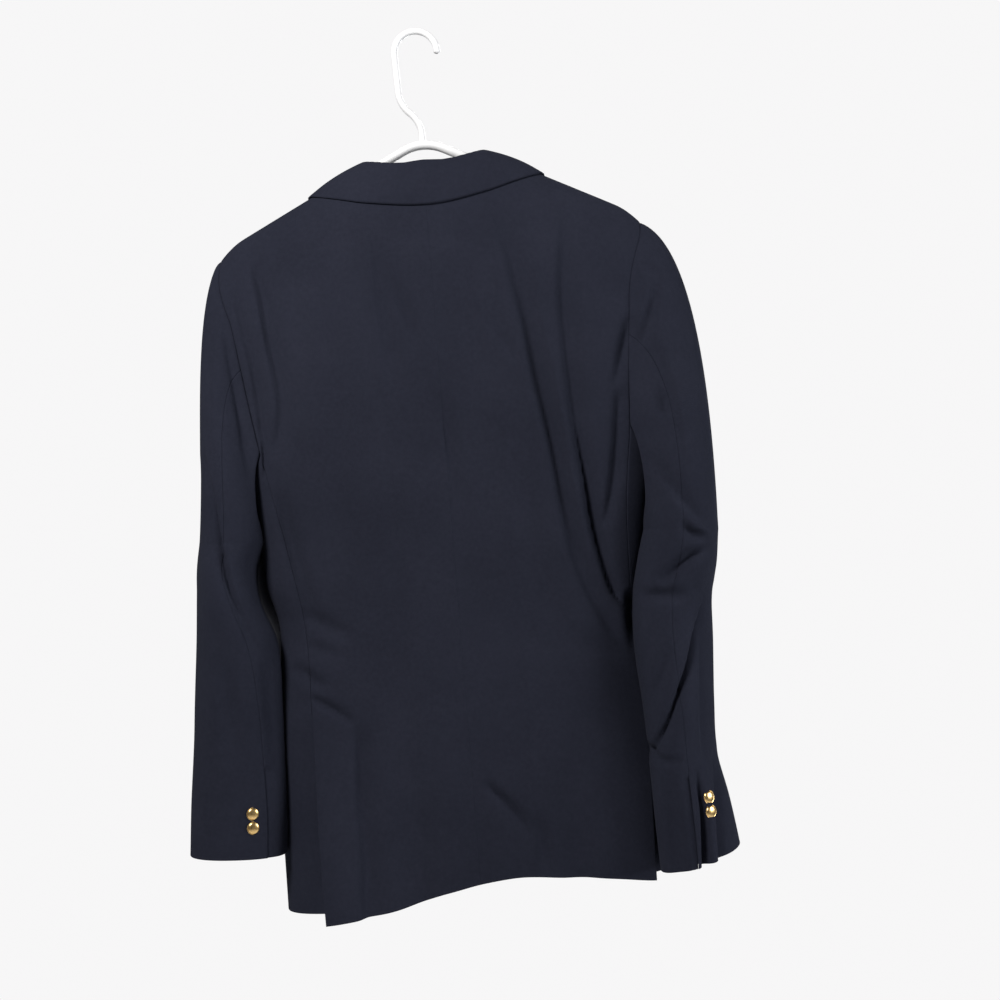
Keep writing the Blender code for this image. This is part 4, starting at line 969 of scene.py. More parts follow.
def sheet_mesh(name, grid, normals):
    """A closed sheet of cloth with the grid as its outer face."""
    rows, columns = grid.shape[:2]
    tucked = np.zeros((rows, columns, 1))
    tucked[[0, -1]] = tucked[:, [0, -1]] = RIM_TUCK * WALL
    outer = grid - normals * tucked
    inner = grid - normals * (WALL - tucked)
    verts = np.concatenate([outer.reshape(-1, 3), inner.reshape(-1, 3)])
    index = np.arange(rows * columns).reshape(rows, columns)
    quads = np.stack([index[:-1, :-1], index[:-1, 1:], index[1:, 1:], index[1:, :-1]], -1)
    quads = quads.reshape(-1, 4)
    rim = np.concatenate([index[0, :-1], index[:-1, -1], index[-1, :0:-1], index[:0:-1, 0]])
    after = np.roll(rim, -1)
    under = rows * columns
    rims = np.stack([rim, rim + under, after + under, after], -1)
    a, b, d = (verts[quads[:, i]] for i in (0, 1, 3))
    facing = np.einsum("ij,ij->i", np.cross(b - a, d - a), normals.reshape(-1, 3)[quads[:, 0]])
    faces = np.concatenate([quads, quads[:, ::-1] + under, rims])
    if facing.sum() < 0:
        faces = faces[:, ::-1]
    data = bpy.data.meshes.new(name)
    data.from_pydata(verts.tolist(), [], faces.tolist())
    grain = np.stack([run_lengths(grid, 1), run_lengths(grid, 0)], -1).reshape(-1, 2)
    grain = np.concatenate([grain, grain])
    corners = np.empty(len(data.loops), np.int32)
    data.loops.foreach_get("vertex_index", corners)
    layer = data.uv_layers.new(name="grain")
    layer.data.foreach_set("uv", grain[corners].astype(np.float32).ravel())
    data.shade_smooth()
    return data


def extend(made, grid, normals):
    """Adds a second layer of the same piece of cloth to its sheet."""
    layer = sheet_mesh("layer", grid, normals)
    both = bmesh.new()
    both.from_mesh(made.data)
    both.from_mesh(layer)
    both.to_mesh(made.data)
    both.free()
    bpy.data.meshes.remove(layer)
    made["cut_area"] += float(grid_area(grid))


def grid_area(grid):
    """The area of a grid's faces, in square metres."""
    a, b, c, d = grid[:-1, :-1], grid[:-1, 1:], grid[1:, 1:], grid[1:, :-1]
    return np.linalg.norm(np.cross(c - a, d - b), axis=-1).sum() / 2


# %% [markdown]
# ## Hanging the panels
# Now every panel is swung out of true with the hanger, its seams are sunk,
# and it becomes a sheet that stands for its solid. The groove goes only where
# there is a seam: a hem, a vent's edge and the front's edge are plain folds. It
# is faint along the flat seams and stronger round the armhole, and the seams
# that show light between two sheets get a tiny overlap, the bite.

# %% Body panels
LOW_ARMHOLE, HIGH_ARMHOLE, ARMHOLE_FADE_Z = 0.6, 0.35, -0.40
cloth = {}


def hang(name, grid, normals, sewn, seed=0.0):
    """Sinks the seams and makes the sheet, which rides on the body."""
    distance = edge_distances(grid)
    along = {"start": distance["top"], "end": distance["top"]}
    along["top"] = along["bottom"] = distance["start"]
    sunk = np.zeros(grid.shape[:2])
    for edge, weight in sewn.items():
        sunk += seam_sink(distance[edge]) * weight
        sunk += pucker(distance[edge], along[edge], seed) * weight
    grid = grid - normals * sunk[..., None]
    made = bpy.data.objects.new(name + "_cloth", sheet_mesh(name + "_cloth", grid, normals))
    bpy.context.scene.collection.objects.link(made)
    made["cut_area"] = float(grid_area(grid))
    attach(made, "root")
    cloth[name] = made


def above_vent(levels):
    return 1 - ease((VENT_Z + 0.004 - levels) / 0.006)[:, None]


strength = mix(LOW_ARMHOLE, HIGH_ARMHOLE, ease((LEVELS - ARMHOLE_FADE_Z) / 0.10))
by_armhole = ease((LEVELS - UNDERARM_Z) / 0.03 + 0.5) * strength
by_armhole = np.maximum(by_armhole, FLAT_SEAM)[:, None]
for side in (-1, 1):
    hand = side_name(side)
    backs[side][:, 0, 0] -= side * SEAM_BITE
    grid = swung(backs[side])
    hang(
        "back_" + hand,
        grid,
        outward(grid, -side),
        {"start": FLAT_SEAM, "end": above_vent(LEVELS) * by_armhole, "top": FLAT_SEAM},
        seed=1.0 + side,
    )
    grid = swung(fronts[side])
    sewn = {"end": by_armhole, "top": FLAT_SEAM}
    hang("front_" + hand, grid, outward(grid, side), sewn, seed=2.0)
    grid = swung(sides[side])
    hang(
        "side_panel_" + hand,
        grid,
        outward(grid, -side),
        {"start": above_vent(SIDE_LEVELS) * FLAT_SEAM, "end": FLAT_SEAM, "top": 1.0},
        seed=3.0,
    )
print("body panels:", len(cloth))

# %% [markdown]
# ## Hanging the sleeves
# Each tube is creased as a whole and then cut along its seams. At the cuff the
# hindarm seam is open as a vent: the under sleeve steps down beside it, and a
# second layer of the same cloth, the underlap, runs on beneath the top sleeve.

# %% Sleeves, cut along their seams
VENT_UP = 0.098
VENT_STEP = 0.0016
VENT_LAP = 0.0044
VENT_STEP_WIDTH = 0.016
VENT_SOFT = 0.004
LAP_COLUMNS = 24
FACING_EDGE, FACING_FADE, HEAD_FADE = 0.35, 0.5, 0.02
CAP = spread(0.330, 0.0034)
ARM = spread(0.350, 0.0034)
TOP_SHARES = FOREARM - 1.0 + (1.0 + HINDARM - FOREARM) * spread(0.24, 0.0034)
UNDER_SHARES = HINDARM + (FOREARM - HINDARM) * spread(0.16, 0.0034)
LAP_SHARES = HINDARM + np.linspace(-0.060, 0.020, LAP_COLUMNS)


def creased_sleeve(side, shares, whole):
    """The tube at these shares, with its creases, and its normals."""
    tube = sleeve_grid(side, whole, CAP, ARM)
    normals = outward(tube, side, closed=True)
    seen = ease((FACING_EDGE - normals[..., 1]) / FACING_FADE)
    fore = ease((FACING_EDGE + normals[..., 1]) / FACING_FADE)
    from_head = ease(run_lengths(tube, 0) / HEAD_FADE)
    sunk = crease_depth(SLEEVE_CREASES[side], tube[..., 0], tube[..., 2]) * seen
    middle = between(SLEEVE_SECTIONS[side], SLEEVE_COLUMNS, "x", tube[..., 2])
    sunk += crease_depth(FORE_CREASES, (tube[..., 0] - middle) * side, tube[..., 2]) * fore
    tube = tube - normals * (sunk * from_head)[..., None]
    picked = np.searchsorted(whole, shares % 1.0)
    return tube[:, picked], outward(tube, side, closed=True)[:, picked]


for side in (-1, 1):
    hand = side_name(side)
    shown = np.concatenate([TOP_SHARES % 1.0, UNDER_SHARES % 1.0, LAP_SHARES])
    whole = np.unique(np.round(shown, 7))
    for name, shares in (("top_sleeve_", TOP_SHARES), ("under_sleeve_", UNDER_SHARES)):
        grid, normals = creased_sleeve(side, np.round(shares % 1.0, 7), whole)
        grid[0, :, 0] -= side * SEAM_BITE
        distance = edge_distances(grid)
        vent = ease((VENT_UP - distance["bottom"]) / VENT_SOFT)
        if name == "under_sleeve_":
            lower = VENT_STEP * vent * ease(1 - distance["start"] / VENT_STEP_WIDTH)
            grid = grid - normals * lower[..., None]
            sewn = {"start": (1 - vent) * FLAT_SEAM, "end": FLAT_SEAM, "top": HEAD_SEAM}
        else:
            sewn = {"end": (1 - vent) * FLAT_SEAM, "start": FLAT_SEAM, "top": HEAD_SEAM}
        hang(name + hand, grid, normals, sewn, seed=4.0 + side)
    grid, normals = creased_sleeve(side, np.round(LAP_SHARES, 7), whole)
    up = edge_distances(grid)["bottom"][:, LAP_COLUMNS // 2]
    rows = up < VENT_UP + VENT_SOFT
    grid, normals = (grid - normals * VENT_LAP)[rows], normals[rows]
    extend(cloth["under_sleeve_" + hand], grid, normals)
print("cloth pieces so far:", len(cloth))

# %% [markdown]
# ## Collar and lapels
# The collar is one folded piece. At each station along the neck its section
# climbs the stand from the neck's seam, rolls over, and falls to the leaf's
# edge on the back. The lapel is the front's own cloth rolled round its edge
# and laid on the chest.

# %% Collar
COLLAR_WALL = 0.0015
CLOTH_WALL = 0.0020
SOLID_COLLAR_WALL = 0.0016
LAID_CLEAR = 0.0014
EDGE_CLEAR = 0.0008
STAND_HEIGHT = 0.027
COLLAR_ROLL = 0.0027
LEAF_LIFT = 0.8
FALL_BOW = 0.0030
STATION_STEP = 0.01
COLLAR_COLUMNS = ("station", "leaf_x", "leaf_z", "stand", "out_x", "out_y", "out_z")
COLLAR_STATIONS = (
    (-0.24, -0.062, -0.1905, 0.78, -0.20, -1.00, 0.42),
    (0.00, 0.000, -0.1980, 1.00, 0.00, -1.00, 0.20),
    (0.24, 0.062, -0.1905, 0.78, 0.20, -1.00, 0.42),
    (0.40, 0.100, -0.1810, 0.48, 0.50, -1.00, 1.05),
    (0.46, 0.116, -0.1765, 0.40, 0.80, -0.60, 1.60),
    (0.52, 0.130, -0.1730, 0.33, 0.45, 0.00, 0.89),
    (0.66, 0.132, -0.1960, 0.26, 0.35, 0.80, 0.60),
    (0.86, 0.120, -0.2230, 0.16, 0.15, 1.00, 0.30),
    (1.00, 0.100, -0.2440, 0.12, 0.10, 1.00, 0.20),
)
SHOULDER_STATION = 0.52
GORGE_Z = -0.231
GORGE_DROP = 0.033
COLLAR_STEPS = 110
SECTION_POINTS = 34
LAPEL_WIDTH = 0.088
LAPEL_ROWS = 110


def collar_seam(station):
    """The neck seam: along the back neck, then down the front's roll line."""
    if station <= SHOULDER_STATION:
        x = NECK_X * math.sin(math.pi / 2 * station / SHOULDER_STATION)
        return body_point(x, neckline(x), -1)
    down = (station - SHOULDER_STATION) / (1 - SHOULDER_STATION)
    level = mix(ridge(NECK_X), GORGE_Z, down)
    return front_point(front_edge(level), level, 1)


def unit(vector):
    return vector / np.linalg.norm(vector)


def through(points, count):
    """Points spaced evenly along a smooth curve through the given ones."""
    rows = smooth_rows(points)
    run = np.append(0.0, np.cumsum(np.linalg.norm(np.diff(rows, axis=0), axis=1)))
    at = np.linspace(0, run[-1], count)
    return np.stack([np.interp(at, run, rows[:, i]) for i in range(rows.shape[1])], -1)


def collar_section(station):
    """The collar's shown face at a station: up the stand, over the roll, and
    down the fall to the leaf's edge."""
    seam = collar_seam(station)
    _, leaf_x, leaf_z, stand, *way = [
        float(between(COLLAR_STATIONS, COLLAR_COLUMNS, name, station))
        for name in COLLAR_COLUMNS
    ]
    out = unit(np.array(way))
    step = STATION_STEP if station < 0.9 else -STATION_STEP
    along = (collar_seam(station + step) - seam) * math.copysign(1, step)
    rise = unit(np.cross(along, out))
    if rise[0] > 0.5 or rise[2] < -0.5:
        rise = -rise
    leaf_z = min(leaf_z, ridge(leaf_x) - 0.0005)
    face = -1 if station < SHOULDER_STATION else 1
    leaf = body_point(leaf_x, leaf_z, face)
    leaf = leaf + out * (LAID_CLEAR + SOLID_COLLAR_WALL) * LEAF_LIFT
    low = seam - out * CLOTH_WALL * 0.5 + rise * EDGE_CLEAR
    high = low + rise * STAND_HEIGHT * stand
    over = high + out * COLLAR_ROLL * 2
    line = [low, mix(low, high, 0.5), high, high + (out + rise) * COLLAR_ROLL, over]
    for share in (0.33, 0.66, 1.0):
        bow = math.sin(math.pi * share) * FALL_BOW
        line.append(mix(over, leaf, share) + out * bow)
    return through(line, SECTION_POINTS)


half = [collar_section(step / COLLAR_STEPS) for step in range(COLLAR_STEPS + 1)]
left = [line * np.array([-1.0, 1.0, 1.0]) for line in half[:0:-1]]
grid = swung(np.array(left + half))
hang("collar", grid, outward(grid, 1), {})

# %% Lapels
# Each row: share of the lapel's width, how far past the front's edge, how high
LAPEL_SECTION = (
    (0.00, 0.0024, -0.0020),
    (0.00, 0.0024, 0.0008),
    (0.00, 0.0006, 0.0029),
    (0.18, 0.0000, 0.0031),
    (0.45, 0.0000, 0.0031),
    (0.72, 0.0000, 0.0031),
    (1.00, 0.0000, 0.0029),
)


def lapel_width(level):
    share = (level - BREAK_Z) / (GORGE_Z - BREAK_Z)
    return LAPEL_WIDTH * np.sin(math.pi / 2 * np.minimum(share * 1.04, 1.0)) ** 0.85


def lapel_grid(side):
    rows = []
    for step in range(LAPEL_ROWS + 1):
        down = step / LAPEL_ROWS
        level = mix(GORGE_Z - 0.0010, BREAK_Z + 0.012, down)
        width = max(float(lapel_width(level)), 0.010)
        line = []
        for across, beyond, lift in LAPEL_SECTION:
            x = front_edge(level) + across * width
            z = level - GORGE_DROP * across * (1 - down) ** 2
            line.append(front_point(x, z, side) + [-side * beyond, lift, 0.0])
        rows.append(through(line, SECTION_POINTS))
    return swung(np.array(rows))


for side in (-1, 1):
    grid = lapel_grid(side)
    hang("lapel_" + side_name(side), grid, outward(grid, side), {})

# %% [markdown]
# ## Pockets
# Each front has a flap that is sewn down along its top and hangs free below,
# and the left front has a breast welt, a narrow folded strip. They are laid on
# points of the front itself, moved out along its normal.

# %% Flaps and welt
SEWN_CLEAR = 0.0005


def laid_on(side, x, z, lift):
    """A grid on a front at these places, moved out along its normal."""
    here = front_point(x, z, side)
    along_x = front_point(x + 0.004, z, side) - here
    along_z = front_point(x, z - 0.004, side) - here
    out = np.cross(along_x, along_z) * side
    out = out / np.linalg.norm(out, axis=-1, keepdims=True)
    return swung(here + out * lift)


def patch(side, low_x, high_x, top, bottom, slope, round_by, sewn, loose):
    """A rectangle of cloth on a front, with its lower corners rounded."""
    across = spread(high_x - low_x, 0.0030)[None, :]
    down = spread(top - bottom, 0.0030)[:, None]
    x = mix(low_x, high_x, across)
    z = mix(top, bottom, down) + slope * across
    wide = (high_x - low_x) * np.minimum(across, 1 - across)
    inside = np.clip(1 - wide / round_by, 0, 1)
    z = z + down * round_by * 0.35 * (1 - np.sqrt(1 - inside**2))
    lift = mix(sewn, loose, ease(down * 3))
    return laid_on(side, x, z, np.broadcast_to(lift, z.shape)[..., None])


for side in (-1, 1):
    sewn, loose = COLLAR_WALL + SEWN_CLEAR, COLLAR_WALL + LAID_CLEAR
    grid = patch(side, 0.040, 0.149, -0.722, -0.776, 0.003, 0.018, sewn, loose)
    hang("pocket_flap_" + side_name(side), grid, outward(grid, side), {})
grid = patch(-1, 0.110, 0.186, -0.378, -0.402, 0.012, 0.002, loose, loose)
hang("breast_welt", grid, outward(grid, -1), {})
print("cloth pieces:", sorted(cloth))

# %% [markdown]
# ## The solids under the sheets
# Each sheet already carries the area of its cut, taken along the cloth, so the
# folds are in it. The solid that it stands for is hidden.

for name, made in cloth.items():
    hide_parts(name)

# %% [markdown]
# ## Wool
# The cloth is a fine navy wool. Close to, pale and dark threads cross in a
# small basket weave; from a step away it reads as a soft dark blue with a
# little unevenness, and it has a faint nap, which Sheen gives at the edges.
# The weave follows the panel's own grain, so it reads the grid's UV map,
# which is in metres. A few specks of lint sit on it.

# %% Wool material
THREAD = 0.0011
SPECK_CELLS = 21.0
SPECK_SIZE = 0.016
SPECK_STRETCH = (1.0, 0.35, 0.72)
LINT_COLOUR = (0.16, 0.17, 0.21)


class Finish:
    """A material's node tree, with short calls to add and join nodes."""

    def __init__(self, name):
        self.material = bpy.data.materials.new(name)
        self.material.use_nodes = True
        self.tree = self.material.node_tree
        self.surface = self.tree.nodes["Principled BSDF"]

    def add(self, kind, **settings):
        node = self.tree.nodes.new("ShaderNode" + kind)
        for key, value in settings.items():
            setattr(node, key, value)
        return node

    def join(self, out, to):
        self.tree.links.new(out, to)

    def set(self, **values):
        """Sets inputs of the surface, with _ for a space in their names."""
        for key, value in values.items():
            self.surface.inputs[key.replace("_", " ")].default_value = value

    def scaled(self, value, by, plus):
        """The value times a number, plus another number."""
        out = self.math("MULTIPLY_ADD", value, by)
        out.node.inputs[2].default_value = plus
        return out

    def math(self, operation, first, second=None):
        node = self.add("Math", operation=operation)
        for socket, value in zip(node.inputs, (first, second)):
            if isinstance(value, (int, float)):
                socket.default_value = value
            elif value is not None:
                self.join(value, socket)
        return node.outputs[0]

    def noise(self, vector, scale, detail=3.0, roughness=0.55):
        node = self.add("TexNoise")
        node.inputs["Scale"].default_value = scale
        node.inputs["Detail"].default_value = detail
        node.inputs["Roughness"].default_value = roughness
        self.join(vector, node.inputs["Vector"])
        return node.outputs["Fac"]

    def ramp(self, value, stops):
        node = self.add("ValToRGB")
        line = node.color_ramp
        line.elements[0].position, line.elements[0].color = stops[0][0], (*stops[0][1], 1)
        line.elements[1].position, line.elements[1].color = stops[-1][0], (*stops[-1][1], 1)
        for place, colour in stops[1:-1]:
            line.elements.new(place).color = (*colour, 1)
        self.join(value, node.inputs["Fac"])
        return node.outputs["Color"]

    def blend(self, share, first, second):
        node = self.add("Mix", data_type="RGBA")
        for which, value in ((0, share), (6, first), (7, second)):
            if isinstance(value, tuple):
                node.inputs[which].default_value = (*value, 1.0)
            else:
                self.join(value, node.inputs[which])
        return node.outputs[2]

    def bump(self, height, distance, strength=1.0):
        node = self.add("Bump")
        node.inputs["Distance"].default_value = distance
        node.inputs["Strength"].default_value = strength
        self.join(height, node.inputs["Height"])
        self.join(node.outputs["Normal"], self.surface.inputs["Normal"])


wool = Finish("navy_wool_cloth")
grain = wool.add("UVMap", uv_map="grain").outputs["UV"]
place = wool.add("TexCoord").outputs["Object"]
parts = wool.add("SeparateXYZ")
wool.join(grain, parts.inputs["Vector"])
turns = 2 * math.pi / THREAD
warp = wool.math("SINE", wool.math("MULTIPLY", parts.outputs["X"], turns))
weft = wool.math("SINE", wool.math("MULTIPLY", parts.outputs["Y"], turns))
crossing = wool.math("MULTIPLY", warp, weft)
fibres = wool.noise(grain, 2600.0, 2.0)
slubs = wool.noise(place, 240.0, 3.0)
clouds = wool.noise(place, 9.0, 4.0)
tone = wool.scaled(crossing, 0.09, 0.5)
for noise, share in ((fibres, 0.7), (slubs, 0.35), (clouds, 0.5)):
    noise = wool.math("MULTIPLY", wool.math("SUBTRACT", noise, 0.5), share)
    tone = wool.math("ADD", tone, noise)
navy = wool.ramp(
    tone,
    (
        (0.15, (0.0105, 0.0115, 0.0188)),
        (0.50, (0.0160, 0.0175, 0.0280)),
        (0.85, (0.0238, 0.0255, 0.0395)),
    ),
)
specks = wool.add("TexVoronoi")
specks.inputs["Scale"].default_value = SPECK_CELLS
bent = wool.add("VectorMath", operation="MULTIPLY")
wool.join(place, bent.inputs[0])
bent.inputs[1].default_value = SPECK_STRETCH
wool.join(bent.outputs["Vector"], specks.inputs["Vector"])
near_speck = wool.math("LESS_THAN", specks.outputs["Distance"], SPECK_SIZE)
chosen = wool.add("SeparateColor")
wool.join(specks.outputs["Color"], chosen.inputs["Color"])
some = wool.math("GREATER_THAN", chosen.outputs["Red"], 0.80)
lint = wool.math("MULTIPLY", wool.math("MULTIPLY", near_speck, some), 0.55)
wool.join(wool.blend(lint, navy, LINT_COLOUR), wool.surface.inputs["Base Color"])
relief = wool.math("ADD", crossing, wool.math("MULTIPLY", fibres, 1.6))
wool.bump(relief, 0.00012, 0.5)
wool.set(Roughness=0.92, Specular_IOR_Level=0.05)
wool.set(Sheen_Weight=0.015, Sheen_Roughness=0.55, Sheen_Tint=(0.55, 0.60, 0.78, 1.0))
for made in cloth.values():
    made.data.materials.append(wool.material)
print("wool nodes:", len(wool.tree.nodes))

# %% [markdown]
# ## Gilt buttons
# A blazer's button is a thin domed cap of gilt brass, rolled over a plate at
# its rim, with a shank behind that the thread goes through. One is modelled
# here from a cylinder: its top face is inset and lifted in rings for the dome,
# and its rim is bevelled. Every button is a copy, with its own mesh, set on
# the place and the axis of its solid.

# %% Model one button
RIM_SIDES = 48
DOME_RINGS = 7
RISE, RIM, SHANK = 0.34, 0.10, 0.22
ROLL_WIDTH, ROLL_SINK, ROLL_FOOT = 0.085, 0.035, 0.035
DOME_RADIUS, DOME_HEIGHT = 0.88, 0.98
PLATE_INSET, RIM_BEVEL = 0.72, 0.022


def pick_faces(made, keep):
    """Selects in edit mode the faces that keep() says yes to."""
    bpy.ops.mesh.select_all(action="DESELECT")
    shape = bmesh.from_edit_mesh(made.data)
    shape.select_mode = {"FACE"}
    for face in shape.faces:
        face.select_set(bool(keep(face)))
    shape.select_flush(True)
    bmesh.update_edit_mesh(made.data)


def model_button(name, radius):
    """A domed cap with a rolled rim, axis along +Z, its shank's foot at 0."""
    rise, rim, shank = radius * RISE, radius * RIM, radius * SHANK
    bpy.ops.object.select_all(action="DESELECT")
    bpy.ops.mesh.primitive_cylinder_add(
        vertices=RIM_SIDES, radius=radius, depth=rim, location=(0, 0, shank + rim / 2)
    )
    made = bpy.context.object
    made.name = name
    bpy.ops.object.mode_set(mode="EDIT")
    bpy.ops.mesh.select_mode(type="FACE")
    pick_faces(made, lambda face: face.normal.z > 0.9)
    bpy.ops.mesh.inset(thickness=radius * ROLL_WIDTH)
    bpy.ops.transform.translate(value=(0, 0, -radius * ROLL_SINK))
    bpy.ops.mesh.inset(thickness=radius * ROLL_FOOT)
    before, base = radius * DOME_RADIUS, 0.0
    for ring in range(1, DOME_RINGS + 1):
        angle = math.pi / 2 * ring / (DOME_RINGS + 1)
        here = radius * DOME_RADIUS * math.cos(angle)
        height = rise * math.sin(angle) * DOME_HEIGHT
        bpy.ops.mesh.inset(thickness=before - here)
        bpy.ops.transform.translate(value=(0, 0, height - base))
        before, base = here, height
    bpy.ops.mesh.poke()
    pick_faces(made, lambda face: face.normal.z < -0.9)
    bpy.ops.mesh.inset(thickness=radius * PLATE_INSET)
    bpy.ops.mesh.extrude_region_move(TRANSFORM_OT_translate={"value": (0, 0, -shank)})
    bpy.ops.object.mode_set(mode="OBJECT")
    bevel = made.modifiers.new("rolled_rim", "BEVEL")
    bevel.width = radius * RIM_BEVEL
    bevel.segments = 2
    bevel.limit_method = "ANGLE"
    bevel.angle_limit = math.radians(40)
    bpy.ops.object.modifier_apply(modifier=bevel.name)
    bpy.ops.object.shade_smooth_by_angle(angle=math.radians(42))
    return made


def node_points(name):
    data = nodes[name].data
    points = np.empty(len(data.vertices) * 3, np.float32)
    data.vertices.foreach_get("co", points)
    return points.reshape(-1, 3).astype(float)


def button_axis(name):
    """The foot and the way out of a button's solid: it is a flat turned shape,
    so its axis is the way in which its points spread least, and it points from
    the wide rim's side to the dome."""
    points = node_points(name)
    centre = (points.max(axis=0) + points.min(axis=0)) / 2
    values, ways = np.linalg.eigh(np.cov((points - points.mean(axis=0)).T))
    axis = ways[:, np.argmin(values)]
    heights = (points - centre) @ axis
    reach = np.linalg.norm(points - centre - heights[:, None] * axis, axis=1)
    wide = heights[reach > reach.max() * 0.96].mean()
    if wide > (heights.max() + heights.min()) / 2:
        axis, heights = -axis, -heights
    return centre + axis * heights.min(), axis


CUFF_RADIUS, FRONT_RADIUS = 0.0072, 0.0100
buttons = {}
patterns = {
    "cuff": model_button("button_pattern_cuff", CUFF_RADIUS),
    "front": model_button("button_pattern_front", FRONT_RADIUS),
}
for name in sorted(nodes):
    if "button" not in name:
        continue
    pattern = patterns["front" if name.startswith("front") else "cuff"]
    foot, axis = button_axis(name)
    made = bpy.data.objects.new(name + "_gilt", pattern.data.copy())
    bpy.context.scene.collection.objects.link(made)
    turn = Vector(axis).to_track_quat("Z", "Y").to_matrix().to_4x4()
    made.data.transform(Matrix.Translation(Vector(foot)) @ turn)
    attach(made, "root")
    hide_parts(name)
    buttons[name] = made
    print(name, "foot", np.round(foot, 4).tolist(), "axis", np.round(axis, 2).tolist())
for pattern in patterns.values():
    bpy.data.objects.remove(pattern)

# %% [markdown]
# ## Gilt finish
# Thin gold over brass is bright and smooth, with fine scratches and a patchy
# tone.

# %% Gilt material
gilt = Finish("gilt_brass")
place = gilt.add("TexCoord").outputs["Object"]
wear = gilt.noise(place, 700.0, 4.0)
golds = ((0.3, (0.66, 0.42, 0.15)), (0.6, (0.80, 0.56, 0.25)), (0.9, (0.88, 0.68, 0.38)))
gilt.join(gilt.ramp(wear, golds), gilt.surface.inputs["Base Color"])
gilt.join(gilt.scaled(wear, 0.22, 0.20), gilt.surface.inputs["Roughness"])
gilt.set(Metallic=1.0)
gilt.bump(gilt.noise(place, 2400.0, 2.0), 0.00002, 0.4)
for made in buttons.values():
    made.data.materials.clear()
    made.data.materials.append(gilt.material)
print("buttons:", len(buttons))

# %% [markdown]
# ## The hanger
# A tubular hanger is one plastic tube. It could be a curve with a round bevel;
# here it is drawn by hand as a fitter would bend it: a ring of points is
# extruded along the bar, spun round the end, extruded up the arm, spun over
# the peak, and so on back to its start. The hook is a second tube, joined to
# the first with a Boolean.

# %% Bend the tube
ARM_RADIUS = 0.0050
HOOK_RADIUS = 0.0036
HOOK_INSIDE = 0.0200
ARM_CLEAR = 0.0014
HANGER_REACH = 0.196
END_ROUND = 0.016
PEAK_ROUND = 0.050
TUBE_SIDES = 24
SLOPE = math.atan(SHOULDER_SLOPE)


def arm_height(x):
    """The arm's middle under the shoulder seam, clear of the cloth."""
    below = (CLOTH_WALL + ARM_CLEAR + ARM_RADIUS) * math.hypot(1, SHOULDER_SLOPE)
    return SLOPE_AT_Z - SHOULDER_SLOPE * (abs(x) - SLOPE_AT_X) - below


def start_ring(name, radius, place, way):
    """A ring of points at a place, facing along a way, in edit mode."""
    bpy.ops.object.select_all(action="DESELECT")
    turn = Vector(way).to_track_quat("Z", "Y").to_euler()
    bpy.ops.mesh.primitive_circle_add(
        vertices=TUBE_SIDES, radius=radius, location=place, rotation=turn
    )
    made = bpy.context.object
    made.name = name
    bpy.ops.object.transform_apply(location=True, rotation=True, scale=True)
    bpy.ops.object.mode_set(mode="EDIT")
    bpy.ops.mesh.select_mode(type="VERT")
    bpy.ops.mesh.select_all(action="SELECT")
    return made


def extrude_by(x, z, pieces=1):
    for _ in range(pieces):
        step = (x / pieces, 0.0, z / pieces)
        bpy.ops.mesh.extrude_region_move(TRANSFORM_OT_translate={"value": step})


def spin_round(x, z, degrees, steps):
    """Spins the picked ring about a point, anticlockwise seen from the back."""
    bpy.ops.mesh.spin(
        steps=steps, angle=math.radians(degrees), center=(x, 0.0, z), axis=(0.0, 1.0, 0.0)
    )


slope = math.degrees(SLOPE)
end_x = HANGER_REACH - END_ROUND
end_z = arm_height(end_x) - END_ROUND / math.cos(SLOPE)
bar_z = end_z - END_ROUND
peak_x = PEAK_ROUND * math.sin(SLOPE)
arm_end = (end_x + END_ROUND * math.sin(SLOPE), end_z + END_ROUND * math.cos(SLOPE))
rise = (arm_end[0] - peak_x, arm_height(peak_x) - arm_end[1])

tube = start_ring("hanger_tube", ARM_RADIUS, (0.0, 0.0, bar_z), (1.0, 0.0, 0.0))
extrude_by(end_x, 0.0, 6)
spin_round(end_x, end_z, 180 - slope, 22)
extrude_by(-rise[0], rise[1], 6)
spin_round(0.0, arm_height(peak_x) - PEAK_ROUND * math.cos(SLOPE), 2 * slope, 8)
extrude_by(-rise[0], -rise[1], 6)
spin_round(-end_x, end_z, 180 - slope, 22)
extrude_by(end_x, 0.0, 6)
bpy.ops.mesh.select_all(action="SELECT")
bpy.ops.mesh.remove_doubles(threshold=0.0002)
bpy.ops.mesh.normals_make_consistent(inside=False)
bpy.ops.object.mode_set(mode="OBJECT")
print("tube points:", len(tube.data.vertices))

# %% Bend the hook
STEM_TURN = 48.0
STEM_ROUND = 0.0340
STEM_SINK = 0.002
HOOK_TURN = 184
TIP_LENGTH, TIP_ROUND, TIP_SHARE = 0.0009, 0.0026, 0.75
STEM_Z = -0.1120
stem_foot = arm_height(0.0) - STEM_SINK
hook_middle = HOOK_INSIDE + HOOK_RADIUS

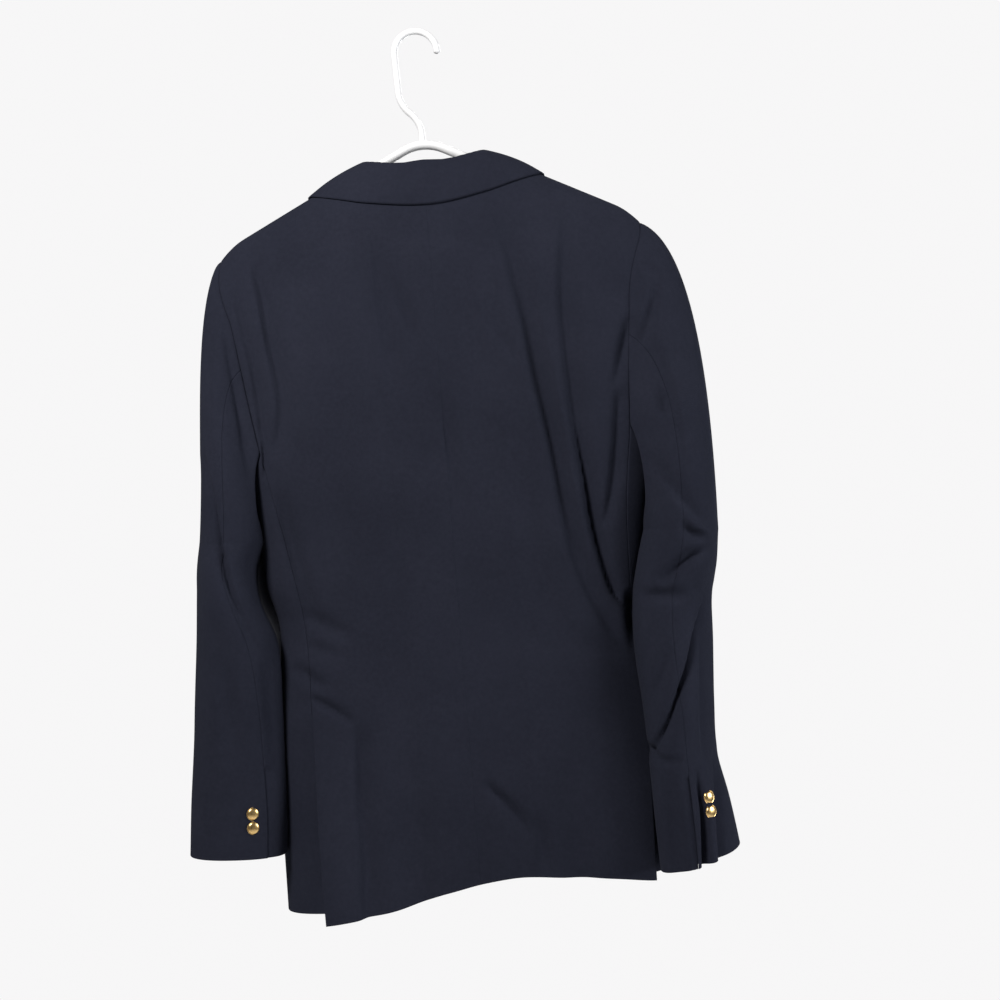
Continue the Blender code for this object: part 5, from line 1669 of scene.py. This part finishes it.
hook = start_ring("hanger_hook", HOOK_RADIUS, (0.0, 0.0, stem_foot), (0, 0, 1))
extrude_by(0.0, STEM_Z - stem_foot, 2)
spin_round(-STEM_ROUND, STEM_Z, STEM_TURN, 8)
over = STEM_ROUND * (1 - math.cos(math.radians(STEM_TURN)))
up = STEM_ROUND * math.sin(math.radians(STEM_TURN))
spin_round(-2 * over + STEM_ROUND, STEM_Z + 2 * up, -STEM_TURN, 8)
extrude_by(-hook_middle + 2 * over, -HOOK_INSIDE - STEM_Z - 2 * up, 3)
spin_round(0.0, -HOOK_INSIDE, -HOOK_TURN, 30)
extrude_by(0.0, -TIP_LENGTH)
tip = (hook_middle, 0.0, -HOOK_INSIDE - TIP_ROUND)
bpy.ops.transform.resize(value=(TIP_SHARE,) * 3, center_override=tip)
bpy.ops.mesh.edge_face_add()
bpy.ops.mesh.select_all(action="SELECT")
bpy.ops.mesh.fill_holes(sides=TUBE_SIDES)
bpy.ops.mesh.normals_make_consistent(inside=False)
bpy.ops.object.mode_set(mode="OBJECT")
print("hook points:", len(hook.data.vertices))

# %% Join them and swing the hanger out of true
join = tube.modifiers.new("hook", "BOOLEAN")
join.operation = "UNION"
join.solver = "EXACT"
join.object = hook
bpy.context.view_layer.objects.active = tube
bpy.ops.object.select_all(action="DESELECT")
tube.select_set(True)
bpy.ops.object.modifier_apply(modifier=join.name)
bpy.data.objects.remove(hook)
tube.data.transform(Matrix.Rotation(-TILT, 4, "Y"))
bpy.ops.object.shade_smooth_by_angle(angle=math.radians(50))
tube.name = "hanger_plastic"
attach(tube, "root")
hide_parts("hanger")
print("hanger faces:", len(tube.data.polygons))

# %% [markdown]
# ## Moulded plastic
# The plastic is white and half glossy, with a very fine orange-peel skin and a
# trace of grey where hands and rails have rubbed it.

# %% Plastic material
plastic = Finish("white_moulded_plastic")
place = plastic.add("TexCoord").outputs["Object"]
rubbed = plastic.noise(place, 60.0, 4.0)
whites = ((0.25, (0.70, 0.70, 0.71)), (0.5, (0.80, 0.80, 0.81)), (0.8, (0.84, 0.84, 0.85)))
plastic.join(plastic.ramp(rubbed, whites), plastic.surface.inputs["Base Color"])
plastic.join(plastic.scaled(rubbed, 0.25, 0.22), plastic.surface.inputs["Roughness"])
plastic.bump(plastic.noise(place, 900.0, 2.0), 0.00005, 0.25)
tube.data.materials.clear()
tube.data.materials.append(plastic.material)

# %% [markdown]
# ## The carried-over solids
# Every solid has a finer piece that stands for it. The solids still get the
# right finishes, in case one is shown again.

# %% Finishes of the solids
for name, node in nodes.items():
    finish = wool if name in cloth else gilt if name in buttons else plastic
    node.data.materials.clear()
    node.data.materials.append(finish.material)
